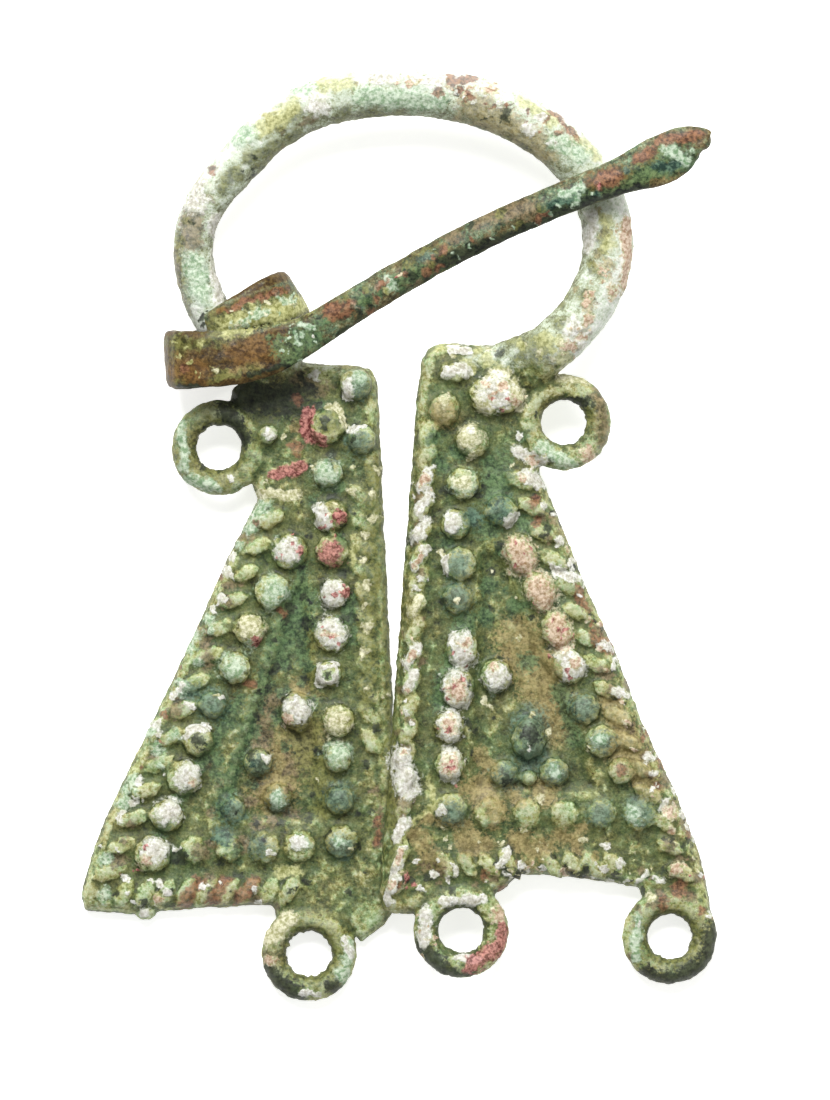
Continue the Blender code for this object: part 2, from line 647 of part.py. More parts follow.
def pin_stations():
    """Stations of the whole pin: place, width, thickness, squareness, width angle and end slant."""
    point, along, inward = hinge_frame()
    radius = winding_radius()
    stations = []
    for run, reach, level, width, thickness, turn in STRAP_COURSE:
        place = point + along * (run * STRAP_WIDTH) + inward * (reach * radius)
        place.z = point.z + level * radius
        size = (width * STRAP_WIDTH, thickness * STRAP_THICKNESS)
        stations.append((place, *size, 0.45, math.radians(turn), 0.0))
    neck = point + along * (NECK_RUN * STRAP_WIDTH) + inward * (NECK_REACH * radius)
    neck.z = point.z + radius
    direction = Vector((math.cos(PIN_SLOPE), math.sin(PIN_SLOPE), 0.0))
    aside = Vector((-direction.y, direction.x, 0.0))
    distance, height = crossing_height(neck, direction)
    climb = (height - neck.z) / distance
    tip_width = TIP_WIDTH / SHAFT_WIDTH
    tip_thickness = TIP_THICKNESS / SHAFT_THICKNESS
    shaft = (
        (0.00, 1.12, 0.72, 0.60, 0.0),
        (0.09, 1.02, 0.92, 0.85, 0.0),
        (0.24, 1.00, 1.00, 0.95, 0.0),
        (0.40, 0.98, 1.00, 0.95, 0.0),
        (0.56, 0.98, 1.00, 0.95, 0.0),
        (0.70, 0.99, 1.00, 0.95, 0.0),
        (0.80, 1.10, 0.92, 0.95, 0.0),
        (0.880, 0.97 * tip_width, 0.75, 1.0, 0.10),
        (0.935, tip_width, tip_thickness, 1.0, 0.35),
        (0.970, 0.86 * tip_width, 0.9 * tip_thickness, 1.0, 0.45),
        (0.992, 0.66 * tip_width, 0.8 * tip_thickness, 1.0, 0.60),
        (1.008, 0.36 * tip_width, 0.7 * tip_thickness, 1.0, 1.05),
    )
    for share, width, thickness, squareness, slant in shaft:
        rise = TIP_RISE * smooth_step((share - TIP_RISE_START) / (1.0 - TIP_RISE_START))
        bow = PIN_BOW * math.sin(math.pi * share) + rise
        place = neck + direction * (share * PIN_REACH) + aside * bow
        place.z = neck.z + climb * share * PIN_REACH
        size = (width * SHAFT_WIDTH, thickness * SHAFT_THICKNESS)
        turn = PIN_SLOPE + math.pi / 2 + 0.12 * math.cos(math.pi * share)
        stations.append((place, *size, squareness, turn, slant))
    return stations


def spline_value(a, b, c, d, t):
    """One value or vector of a smooth curve that passes through b and c."""
    squared = (a * 2 - b * 5 + c * 4 - d) * t ** 2
    cubed = (b * 3 - a - c * 3 + d) * t ** 3
    return (b * 2 + (c - a) * t + squared + cubed) / 2


def build_pin():
    """The pin: one body swept from the strap's free end to the broken tip."""
    stations = pin_stations()
    fine = []
    for i in range(len(stations) - 1):
        window = [stations[min(max(i + k, 0), len(stations) - 1)] for k in (-1, 0, 1, 2)]
        steps = 3 if i < len(STRAP_COURSE) - 1 else 2
        for k in range(steps):
            fine.append([spline_value(*values, k / steps) for values in zip(*window)])
    fine.append(list(stations[-1]))
    rings = []
    for i, (place, width, thickness, squareness, turn, slant) in enumerate(fine):
        before = fine[max(i - 1, 0)][0]
        after = fine[min(i + 1, len(fine) - 1)][0]
        direction = (after - before).normalized()
        across = Vector((math.cos(turn), math.sin(turn), 0.0))
        upward = direction.cross(across).normalized()
        across = upward.cross(direction).normalized()
        ring = section_ring(place, across, upward, width, thickness, squareness, PIN_SIDES)
        ring = [corner + direction * (slant * (corner - place).dot(across)) for corner in ring]
        rings.append(ring)
    return skin_rings("pin", rings)


def settle(objects):
    """Put the middle of the footprint over the origin and the lowest point at height 0."""
    corners = [vertex.co for made in objects for vertex in made.data.vertices]
    low = [min(corner[i] for corner in corners) for i in range(3)]
    high = [max(corner[i] for corner in corners) for i in range(3)]
    shift = Vector((-(low[0] + high[0]) / 2, -(low[1] + high[1]) / 2, -low[2]))
    for made in objects:
        for vertex in made.data.vertices:
            vertex.co += shift
    return shift


def main():
    for old in list(bpy.data.objects):
        bpy.data.objects.remove(old, do_unlink=True)
    hoop = build_hoop()
    hoop.data.materials.clear()
    hoop.data.materials.append(material("patinated_casting", (0.42, 0.47, 0.32), 0.75, 0.1))
    pin = build_pin()
    pin.data.materials.append(material("patinated_pin", (0.20, 0.17, 0.11), 0.65, 0.15))
    shift = settle([hoop, pin])
    point, along, _ = hinge_frame()
    origin = point + shift
    for vertex in pin.data.vertices:
        vertex.co -= origin
    pin.location = origin
    for made in (hoop, pin):
        made.data.shade_smooth()
        made.data.set_sharp_from_angle(angle=SHARP_ANGLE)
    print("hinge", [round(value, 6) for value in origin], [round(value, 6) for value in along])


main()
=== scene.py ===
import random

import bpy
import numpy as np
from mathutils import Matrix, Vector, noise


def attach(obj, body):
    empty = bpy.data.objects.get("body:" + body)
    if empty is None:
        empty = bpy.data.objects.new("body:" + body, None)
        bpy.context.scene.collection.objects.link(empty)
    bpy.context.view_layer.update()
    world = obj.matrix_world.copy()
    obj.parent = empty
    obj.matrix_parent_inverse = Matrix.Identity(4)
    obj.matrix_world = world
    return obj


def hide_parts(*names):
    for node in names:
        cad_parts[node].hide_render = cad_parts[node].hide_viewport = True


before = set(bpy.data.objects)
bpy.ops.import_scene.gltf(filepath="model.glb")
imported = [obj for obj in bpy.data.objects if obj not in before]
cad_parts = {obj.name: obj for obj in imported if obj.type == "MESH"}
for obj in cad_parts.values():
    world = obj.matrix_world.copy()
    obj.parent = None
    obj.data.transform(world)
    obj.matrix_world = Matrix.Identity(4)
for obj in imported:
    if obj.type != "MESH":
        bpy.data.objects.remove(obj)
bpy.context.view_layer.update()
mm = 0.001

photo = {
    "scale": 0.066144 * mm,      # metres to a photo pixel
    "middle": (399.0, 534.5),    # the pixel over the world origin
    "frame": (415.0, 550.0),     # the pixel at the middle of the picture
    "height": 1100,              # pixels
}


def onBrooch(px, py):
    return ((px - photo["middle"][0]) * photo["scale"], (photo["middle"][1] - py) * photo["scale"])


def clearSelection():
    for item in bpy.context.selected_objects:
        item.select_set(False)


def makeActive(piece):
    clearSelection()
    bpy.context.view_layer.objects.active = piece
    piece.select_set(True)


def copyOfNode(nodeName, pieceName):
    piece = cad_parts[nodeName].copy()
    piece.data = piece.data.copy()
    piece.name = pieceName
    for key in list(piece.keys()):
        del piece[key]
    piece.parent = None
    bpy.context.scene.collection.objects.link(piece)
    makeActive(piece)
    bpy.ops.object.mode_set(mode="EDIT")
    bpy.ops.mesh.select_all(action="SELECT")
    bpy.ops.mesh.remove_doubles(threshold=0.000001)
    bpy.ops.object.mode_set(mode="OBJECT")
    piece.data.materials.clear()
    return piece


def applyModifier(piece, kind, **settings):
    makeActive(piece)
    modifier = piece.modifiers.new(kind.lower(), kind)
    for key, value in settings.items():
        setattr(modifier, key, value)
    bpy.ops.object.modifier_apply(modifier=modifier.name)


def readArray(items, field, width, kind):
    values = np.empty(len(items) * width, kind)
    items.foreach_get(field, values)
    return values.reshape(-1, width)


def readPoints(piece):
    return readArray(piece.data.vertices, "co", 3, np.float32).astype(float)


def readNormals(piece):
    return readArray(piece.data.vertex_normals, "vector", 3, np.float32).astype(float)


def readEdges(piece):
    return readArray(piece.data.edges, "vertices", 2, np.int32)


def writePoints(piece, points):
    piece.data.vertices.foreach_set("co", points.astype(np.float32).ravel())
    piece.data.update()


def evened(values, edges, rounds):
    # each point takes half of the mean of its neighbours, again and again
    count = np.bincount(edges.ravel(), minlength=len(values)).clip(1)
    for _ in range(rounds):
        total = np.zeros_like(values)
        for k in range(values.shape[1]):
            total[:, k] = np.bincount(edges[:, 0], values[edges[:, 1], k], len(values))
            total[:, k] += np.bincount(edges[:, 1], values[edges[:, 0], k], len(values))
        values = values * 0.5 + total / count[:, None] * 0.5
    return values


def cloud(points, size, octaves, shift):
    # soft noise of about -1 to 1, with features of this size in metres
    return np.array([noise.fractal(Vector(p), 1.0, 2.0, octaves) for p in points / size + shift])


def smoothStep(values, low, high):
    share = ((values - low) / (high - low)).clip(0.0, 1.0)
    return share * share * (3.0 - 2.0 * share)


def sprinkle(x1, y1, x2, y2, count, spread, least, most, seed):
    # small flakes scattered along a line
    chance = random.Random(seed)
    flakes = []
    for _ in range(count):
        t = chance.random()
        x = x1 + (x2 - x1) * t + chance.gauss(0.0, spread)
        y = y1 + (y2 - y1) * t + chance.gauss(0.0, spread)
        flakes.append((round(x, 1), round(y, 1), chance.uniform(least, most)))
    return flakes


# flakes on each red specked bead: count, spread, least and largest size, first seed
speckle = {"crimson": (5, 8, 1.2, 2.6, 100), "cream": (4, 7, 1.2, 2.4, 200)}


def scattered(look):
    # the large patches of a piece together with all of its small flakes
    patches = {finish: list(spots) for finish, spots in look["patches"].items()}
    for finish, *row in look["flakes"]:
        patches[finish] += sprinkle(*row)
    for number, spot in enumerate(look["redSpecked"]):
        for finish, (*amounts, firstSeed) in speckle.items():
            patches[finish] += sprinkle(*spot, *spot, *amounts, firstSeed + number)
    return patches


# how the surface is pushed and then read, the same for both pieces
relief = {
    "waves": (("lump", 1.3 * mm, 0.4), ("ripple", 0.5 * mm, 5.5), ("grit", 0.2 * mm, 9.1)),
    "proud": ("white", "cream", "mint", "rose", "crimson"),      # coats thick enough to stand up
    "crustFrom": 0.45, "crustFull": 0.62, "crustBite": 0.25,     # where a field becomes crust
    "crustEven": 0.9, "crustRough": 0.35,
    "bendSize": 0.8 * mm, "biteSize": 0.3 * mm,                  # how patch outlines wander
    "downFrom": -0.15, "downTo": 0.25,                           # faces that look down stay bare
    "skirtRounds": 24, "nearRounds": 2, "wideRounds": 22, "fineRounds": 4,
    "slopeShare": 0.8,
    "peakRise": 3.0, "peakFine": 4.0, "peakSteep": 0.6,
    "hollowLevel": 0.42, "hollowRise": 2.4, "hollowFine": 9.0,
    "floorGap": 0.02 * mm,
}


def patchField(points, patches):
    # 1 in the middle of a patch, 0.5 on its edge and 0 well outside all of them
    field = np.full(len(points), -1.0)
    for patch in patches:
        start = np.array(onBrooch(*patch[:2]))
        end = np.array(onBrooch(*patch[-3:-1])) if len(patch) == 5 else start
        along = end - start
        share = ((points[:, :2] - start) @ along / max(along @ along, 1e-12)).clip(0.0, 1.0)
        away = np.linalg.norm(points[:, :2] - start - share[:, None] * along, axis=1)
        field = np.maximum(field, 1.0 - away / (patch[-1] * photo["scale"]))
    return (field + 1.0) / 2.0


def raggedFields(points, normals, patches, ragged):
    # the patches' outlines wander, and they fade on faces that look down
    warp = np.zeros((len(points), 2))
    for k in range(2):
        warp[:, k] = cloud(points, relief["bendSize"], 2, 7.3 + k) * ragged["bend"]
        warp[:, k] += cloud(points, relief["biteSize"], 2, 1.9 + k) * ragged["bite"]
    moved = points[:, :2] + warp
    upward = normals[:, 2] + 0.25 * cloud(points, 0.5 * mm, 2, 4.1)
    facing = smoothStep(upward, relief["downFrom"], relief["downTo"])
    return {name: patchField(moved, spots) * facing for name, spots in patches.items()}


def storeColour(piece, name, columns):
    values = np.ones((len(piece.data.vertices), 4))
    for k, column in enumerate(columns):
        values[:, k] = column
    layer = piece.data.attributes.new(name, "FLOAT_COLOR", "POINT")
    layer.data.foreach_set("color", values.clip(0.0, 1.0).astype(np.float32).ravel())


def place(tree, kind, x, y, feeds=None, **settings):
    node = tree.nodes.new("ShaderNode" + kind)
    node.location = (x, y)
    for key, value in settings.items():
        setattr(node, key, value)
    for key, value in (feeds or {}).items():
        if isinstance(value, bpy.types.NodeSocket):
            tree.links.new(value, node.inputs[key])
        else:
            node.inputs[key].default_value = value
    return node


def newGroup(name, inputs, outputs):
    group = bpy.data.node_groups.new(name, "ShaderNodeTree")
    for label, kind, value in inputs:
        socket = group.interface.new_socket(label, in_out="INPUT", socket_type="NodeSocket" + kind)
        if value is not None:
            socket.default_value = value
    for label, kind in outputs:
        group.interface.new_socket(label, in_out="OUTPUT", socket_type="NodeSocket" + kind)
    entry = group.nodes.new("NodeGroupInput")
    entry.location = (-800, 0)
    leave = group.nodes.new("NodeGroupOutput")
    leave.location = (800, 0)
    return group, entry.outputs, leave.inputs


def maths(tree, x, y, operation, first, second):
    return place(tree, "Math", x, y, {0: first, 1: second}, operation=operation).outputs[0]


def mixColour(tree, x, y, factor, first, second):
    return place(tree, "Mix", x, y, {0: factor, 6: first, 7: second}, data_type="RGBA").outputs[2]


def makeGrain():
    # noise at four sizes, from Object coordinates in millimetres
    outputs = [("Broad", "Float"), ("Middle", "Float"), ("Fine", "Float"), ("Speck", "Float")]
    group, entry, leave = newGroup("corrosionGrain", [("Vector", "Vector", None)], outputs)
    sizes = (("Broad", 0.42, 3.0), ("Middle", 1.5, 4.0), ("Fine", 4.6, 4.0), ("Speck", 9.0, 2.0))
    for row, (label, scale, detail) in enumerate(sizes):
        feeds = {"Vector": entry["Vector"], "Scale": scale, "Detail": detail, "Roughness": 0.6}
        texture = place(group, "TexNoise", -200, 300 - 220 * row, feeds)
        group.links.new(texture.outputs["Fac"], leave[label])
    return group


def makePatchEdge():
    # a soft field becomes a crisp patch with a ragged edge
    inputs = [("Field", "Float", 0.5), ("Grain", "Float", 0.5), ("Raggedness", "Float", 0.6),
              ("Softness", "Float", 0.06), ("Strength", "Float", 1.0)]
    group, entry, leave = newGroup("patchEdge", inputs, [("Mask", "Float")])
    offset = maths(group, -500, -100, "SUBTRACT", entry["Grain"], 0.5)
    offset = maths(group, -300, -100, "MULTIPLY", offset, entry["Raggedness"])
    level = maths(group, -100, 0, "ADD", entry["Field"], offset)
    low = maths(group, -100, -200, "SUBTRACT", 0.5, entry["Softness"])
    high = maths(group, -100, -360, "ADD", 0.5, entry["Softness"])
    feeds = {"Value": level, "From Min": low, "From Max": high}
    stretch = place(group, "MapRange", 150, 0, feeds, interpolation_type="SMOOTHSTEP")
    mask = maths(group, 400, 0, "MULTIPLY", stretch.outputs[0], entry["Strength"])
    group.links.new(mask, leave["Mask"])
    return group


def makeMottle():
    # two tones of one finish, cloudy, with fine salt and pepper
    inputs = [("Vector", "Vector", None), ("Size", "Float", 0.8), ("Fine", "Float", 0.5),
              ("Light", "Color", (0.5, 0.5, 0.5, 1.0)), ("Deep", "Color", (0.2, 0.2, 0.2, 1.0))]
    group, entry, leave = newGroup("mottle", inputs, [("Color", "Color")])
    scale = maths(group, -500, 100, "DIVIDE", 1.0, entry["Size"])
    feeds = {"Vector": entry["Vector"], "Scale": scale, "Detail": 3.0, "Roughness": 0.65}
    texture = place(group, "TexNoise", -300, 100, feeds)
    both = maths(group, -80, 60, "ADD", texture.outputs["Fac"], entry["Fine"])
    feeds = {"Value": both, "From Min": 0.84, "From Max": 1.16}
    share = place(group, "MapRange", 120, 60, feeds).outputs[0]
    colour = mixColour(group, 360, 0, share, entry["Deep"], entry["Light"])
    group.links.new(colour, leave["Color"])
    return group


def useGroup(tree, group, x, y, feeds):
    return place(tree, "Group", x, y, feeds, node_tree=group).outputs


def ramp(tree, x, y, factor, stops):
    node = place(tree, "ValToRGB", x, y, {0: factor})
    marks = node.color_ramp.elements
    marks[0].position, marks[0].color = stops[0]
    marks[1].position, marks[1].color = stops[-1]
    for position, colour in stops[1:-1]:
        marks.new(position).color = colour
    return node.outputs[0]


def tone(red, green, blue, gain=1.35):
    # a tone read off the photo in 0 to 255, as the colour of the surface under these lights
    return tuple(((c / 255.0) ** 2.2) / gain for c in (red, green, blue)) + (1.0,)


finishes = {
    # light tone, deep tone, raggedness, softness, strength
    "ochre": (tone(188, 168, 114), tone(112, 94, 50), 1.5, 0.18, 0.66),
    "umber": (tone(150, 132, 100), tone(66, 54, 36), 1.4, 0.20, 0.78),
    "olive": (tone(136, 138, 76), tone(58, 64, 28), 1.2, 0.22, 0.72),
    "copper": (tone(140, 104, 56), tone(78, 54, 26), 0.9, 0.22, 0.80),
    "green": (tone(106, 138, 92), tone(30, 58, 38), 1.5, 0.20, 0.75),
    "teal": (tone(104, 136, 116), tone(32, 60, 54), 1.3, 0.24, 0.80),
    # dark is dark patina, and is also used for painted shadows and painted shade
    "dark": (tone(62, 72, 50), tone(15, 22, 16), 1.1, 0.16, 0.90),
    "lime": (tone(224, 224, 160), tone(148, 150, 82), 1.6, 0.22, 0.74),
    "mint": (tone(226, 242, 218), tone(124, 160, 118), 1.6, 0.21, 0.78),
    "rust": (tone(164, 115, 84), tone(80, 48, 34), 1.4, 0.18, 0.80),
    "cream": (tone(248, 244, 210), tone(166, 164, 112), 1.3, 0.14, 0.85),
    "white": (tone(255, 255, 250), tone(206, 208, 184), 1.2, 0.12, 0.92),
    "rose": (tone(238, 196, 178), tone(146, 62, 50), 1.3, 0.12, 0.88),
    "crimson": (tone(222, 150, 140), tone(104, 29, 37), 1.4, 0.14, 0.88),
}
under = ("ochre", "umber", "olive", "copper", "green", "teal", "dark")
crusty = ("lime", "mint", "rust", "cream", "white", "rose", "crimson")
# the stains layer carries the dark finish, painted shadows included
coatings = {"crusts": ("white", "mint", "rose", "lime"), "stainsAndShadow": ("rust", "teal", "dark", "ochre"),
            "casts": ("umber", "olive", "crimson", "cream"), "glazes": ("green", "copper")}
crustCore = (tone(228, 222, 212), tone(142, 130, 112))
rims = {"white": 0.24, "rose": 0.12}      # how far in from its outline the rim of a crust reaches
flat = ("lime", "rust")                   # coats that are stains without thickness
grading = {
    "groundFrom": 0.88, "groundTo": 1.72, "speckShare": 0.6, "hollowShade": 0.45,
    # raggedness and softness of the masks, and strength where no piece says it
    "greens": (1.3, 0.20, 0.9), "earths": (1.1, 0.15), "dirtAndShade": (0.9, 0.25), "bars": (0.8, 0.20, 0.95),
    "wear": (1.3, 0.18), "wearTones": (0.8, 0.15, 1.0), "core": (1.5, 0.12, 0.6), "pepper": (1.35, 0.10),
    # sizes of the two toned clouds, in millimetres
    "moatCloud": 0.9, "softCloud": 0.6, "coreCloud": 0.4, "crustCloud": 0.32,
    "wearBroad": 0.5, "pepperLevel": 0.10, "black": tone(50, 46, 30),
    "bumpMiddle": 0.9, "bumpFine": 0.55, "bumpCrust": 0.30, "bumpStrength": 0.9, "crustRough": 0.15,
}


grainGroup = makeGrain()
edgeGroup = makePatchEdge()
mottleGroup = makeMottle()
print("node groups ready")


def patinaMaterial(name, look):
    made = bpy.data.materials.new(name)
    made.use_nodes = True
    tree = made.node_tree
    shader = tree.nodes["Principled BSDF"]
    shader.location = (4800, 0)
    tree.nodes["Material Output"].location = (5100, 0)
    # object coordinates in millimetres, and the same moved aside for a second set of noises
    where = place(tree, "TexCoord", -2400, 0).outputs["Object"]
    vector = place(tree, "VectorMath", -2200, 0, {0: where, 3: 1000.0}, operation="SCALE").outputs[0]
    aside = place(tree, "VectorMath", -2200, -300, {0: vector, 1: (31.7, -12.3, 7.9)}).outputs[0]
    grain = useGroup(tree, grainGroup, -2000, 0, {"Vector": vector})
    other = useGroup(tree, grainGroup, -2000, -300, {"Vector": aside})
    fields = {}
    for row, (layer, names) in enumerate(coatings.items()):
        source = place(tree, "Attribute", -2000, 600 + 300 * row, attribute_name=layer)
        parts = place(tree, "SeparateColor", -1800, 600 + 300 * row, {0: source.outputs["Color"]}).outputs
        fields.update(zip(names, (parts[0], parts[1], parts[2], source.outputs["Alpha"])))
    # shape: high places, hollows with the painted shade of the hole walls, the bars, and the painted light
    # and shade from how each face turns
    shape = place(tree, "Attribute", -2000, 1500, attribute_name="shape")
    shapeParts = place(tree, "SeparateColor", -1800, 1500, {0: shape.outputs["Color"]}).outputs
    peak, hollow, bar, facingShade = shapeParts[0], shapeParts[1], shapeParts[2], shape.outputs["Alpha"]

    def mottled(x, y, tones, size):
        feeds = {"Vector": vector, "Size": size, "Fine": other["Fine"], "Light": tones[0], "Deep": tones[1]}
        return useGroup(tree, mottleGroup, x, y, feeds)["Color"]

    def edge(x, y, field, speck, ragged, soft, strength):
        feeds = {"Field": field, "Grain": speck, "Raggedness": ragged, "Softness": soft, "Strength": strength}
        return useGroup(tree, edgeGroup, x, y, feeds)["Mask"]

    # ground: three families of tones that run into each other, deeper in the hollows
    level = maths(tree, -1700, -200, "ADD", grain["Middle"], grain["Fine"])
    specks = maths(tree, -1700, -400, "MULTIPLY", other["Speck"], grading["speckShare"])
    level = maths(tree, -1550, -200, "ADD", level, specks)
    feeds = {"Value": level, "From Min": grading["groundFrom"], "From Max": grading["groundTo"]}
    level = place(tree, "MapRange", -1400, -200, feeds).outputs[0]
    sunk = maths(tree, -1550, -450, "SUBTRACT", 0.5, hollow)
    sunk = maths(tree, -1400, -450, "MULTIPLY", sunk, grading["hollowShade"])
    low = maths(tree, -1250, -200, "ADD", level, sunk)
    colour = ramp(tree, -1050, 0, low, look["ground"])
    share = edge(-1050, -600, other["Broad"], other["Middle"], *grading["greens"])
    colour = mixColour(tree, -750, 0, share, colour, ramp(tree, -1050, -300, low, look["greens"]))
    share = edge(-750, -600, grain["Broad"], other["Fine"], *grading["earths"], look["earthShare"])
    colour = mixColour(tree, -500, 0, share, colour, ramp(tree, -750, -300, low, look["earths"]))

    # dirt in the hollows, which also brings the painted shade on the loops' hole walls, then the rod or the
    # strap with its own ramp, moved along it by painted light and shade from how each face turns
    share = edge(-500, -600, hollow, other["Middle"], *grading["dirtAndShade"], look["dirtAndShade"])
    moat = mottled(-500, -300, look["moat"], grading["moatCloud"])
    colour = mixColour(tree, -250, 0, share, colour, moat)
    share = edge(-250, -600, bar, grain["Middle"], *grading["bars"])
    # the noise level plus the painted light and shade from how each face turns
    shadedLift = maths(tree, -300, -450, "ADD", level, maths(tree, -500, -450, "SUBTRACT", facingShade, 0.5))
    colour = mixColour(tree, 0, 0, share, colour, ramp(tree, -250, -300, shadedLift, look["bars"]))

    # high places are rubbed paler, in two tones
    x = 250
    worn = maths(tree, x - 240, -800, "MULTIPLY", grain["Broad"], grading["wearBroad"])
    worn = maths(tree, x - 120, -800, "ADD", peak, worn)
    worn = maths(tree, x, -800, "SUBTRACT", worn, look["rubLevel"])
    share = edge(x, -600, worn, grain["Fine"], *grading["wear"], look["rub"])
    rubbed = mottled(x - 100, -300, look["rubbed"], grading["softCloud"])
    rubbedToo = mottled(x - 100, -450, look["rubbedToo"], grading["softCloud"])
    either = edge(x, -450, other["Broad"], grain["Middle"], *grading["wearTones"])
    colour = mixColour(tree, x, 0, share, colour, mixColour(tree, x, -300, either, rubbed, rubbedToo))

    # soft stains first, with the painted shadows of the dark finish among them, then the crusts on top of
    # them
    x += 250
    for finish in under:
        share = edge(x, -600, fields[finish], grain["Fine"], *finishes[finish][2:])
        stainAndShadow = mottled(x, -300, finishes[finish], grading["softCloud"])
        colour = mixColour(tree, x, 0, share, colour, stainAndShadow)
        x += 250
    crustMask = 0.0
    for finish in crusty:
        speck = maths(tree, x - 100, -760, "ADD", other["Middle"], grain["Fine"])
        speck = maths(tree, x, -760, "MULTIPLY", speck, 0.5)
        share = edge(x, -600, fields[finish], speck, *finishes[finish][2:])
        coat = mottled(x, -300, finishes[finish], grading["crustCloud"])
        if finish in rims:      # white has a duller middle, and rose a cream rim
            core = maths(tree, x, -1000, "SUBTRACT", fields[finish], rims[finish])
            core = edge(x, -1200, core, grain["Fine"], *grading["core"])
            second = mottled(x, -1400, crustCore if finish == "white" else finishes["cream"],
                             grading["coreCloud"])
            outer, inner = (coat, second) if finish == "white" else (second, coat)
            coat = mixColour(tree, x, -450, core, outer, inner)
        colour = mixColour(tree, x, 0, share, colour, coat)
        if finish not in flat:
            crustMask = maths(tree, x, -900, "MAXIMUM", share, crustMask)
        x += 250
    black = edge(x, -600, grading["pepperLevel"], grain["Speck"], *grading["pepper"], look["pepper"])
    colour = mixColour(tree, x, 0, black, colour, grading["black"])
    tree.links.new(colour, shader.inputs["Base Color"])

    feeds = {"Value": grain["Middle"], "From Min": 0.3, "From Max": 0.7,
             "To Min": look["roughLow"], "To Max": look["roughHigh"]}
    rough = place(tree, "MapRange", 4200, -300, feeds).outputs[0]
    chalky = maths(tree, 4200, -600, "MULTIPLY", crustMask, grading["crustRough"])
    tree.links.new(maths(tree, 4400, -300, "ADD", rough, chalky), shader.inputs["Roughness"])
    height = maths(tree, 4000, -900, "MULTIPLY", grain["Middle"], grading["bumpMiddle"])
    fine = maths(tree, 4000, -1100, "MULTIPLY", grain["Fine"], grading["bumpFine"])
    height = maths(tree, 4150, -900, "ADD", height, fine)
    proud = maths(tree, 4150, -1100, "MULTIPLY", crustMask, grading["bumpCrust"])
    height = maths(tree, 4300, -900, "ADD", height, proud)
    feeds = {"Height": height, "Distance": look["bump"], "Strength": grading["bumpStrength"]}
    tree.links.new(place(tree, "Bump", 4500, -900, feeds).outputs[0], shader.inputs["Normal"])
    shader.inputs["Metallic"].default_value = look["metallic"]
    shader.inputs["Specular IOR Level"].default_value = look["specular"]
    return made


def roundOff(piece, look):
    applyModifier(piece, "REMESH", mode="VOXEL", voxel_size=look["voxel"], use_smooth_shade=True)
    applyModifier(piece, "SMOOTH", factor=0.5, iterations=look["rounding"])


def thinOut(piece, triangles):
    # the remeshed piece is all quads, two triangles each
    applyModifier(piece, "DECIMATE", ratio=min(1.0, triangles / (2 * len(piece.data.polygons))))


def corrode(piece, look, patches):
    # lumps, ripples and grit push the surface in and out, and the crusts stand proud of it
    points = readPoints(piece)
    normals = readNormals(piece)
    fields = raggedFields(points, normals, patches, look)
    crust = np.maximum.reduce([fields[name] for name in relief["proud"]])
    crust += relief["crustBite"] * cloud(points, 0.35 * mm, 3, 2.2)
    crust = smoothStep(crust, relief["crustFrom"], relief["crustFull"])
    push = np.zeros(len(points))
    for depth, size, shift in relief["waves"]:
        push += look[depth] * cloud(points, size, 2, shift)
    uneven = relief["crustEven"] + relief["crustRough"] * cloud(points, 0.3 * mm, 2, 3.3)
    push += look["crust"] * crust * uneven
    points += normals * push[:, None]
    wide = evened(points, readEdges(piece), relief["skirtRounds"])
    sunk = ((wide - points) * normals).sum(axis=1).clip(0.0, None)
    points += normals * (sunk * look["skirt"])[:, None]      # dirt fills the sharpest corners
    points[:, 2] = points[:, 2].clip(relief["floorGap"], None)
    writePoints(piece, points)


def paint(piece, look, patches, barToneAndShade):
    # coats, high and low places, bars and the painted light and shade from how each face turns are stored on
    # the points, for the material to read
    points = readPoints(piece)
    normals = readNormals(piece)
    edges = readEdges(piece)
    fields = raggedFields(points, normals, patches, look)
    for layer, names in coatings.items():
        storeColour(piece, layer, [fields[name] for name in names])
    near = evened(points, edges, relief["nearRounds"])
    offset = near - evened(near, edges, relief["wideRounds"])
    rise = (offset[:, 2] - relief["slopeShare"] * np.linalg.norm(offset[:, :2], axis=1)) / mm
    fine = ((points - evened(points, edges, relief["fineRounds"])) * normals).sum(axis=1) / mm
    bar, facingShade, holeShade = barToneAndShade(points, normals)
    peak = 0.5 + rise * relief["peakRise"] + fine * relief["peakFine"]
    peak -= relief["peakSteep"] * (1.0 - normals[:, 2]).clip(0.0, 1.0)
    # the hollows also carry the painted shade on the loops' hole walls
    hollow = relief["hollowLevel"] - rise * relief["hollowRise"] - fine * relief["hollowFine"] + holeShade
    storeColour(piece, "shape", [peak, hollow, bar, facingShade])


def within(away, full, none):
    # 1 nearer than full, and 0 farther than none
    return smoothStep(-away, -none, -full)


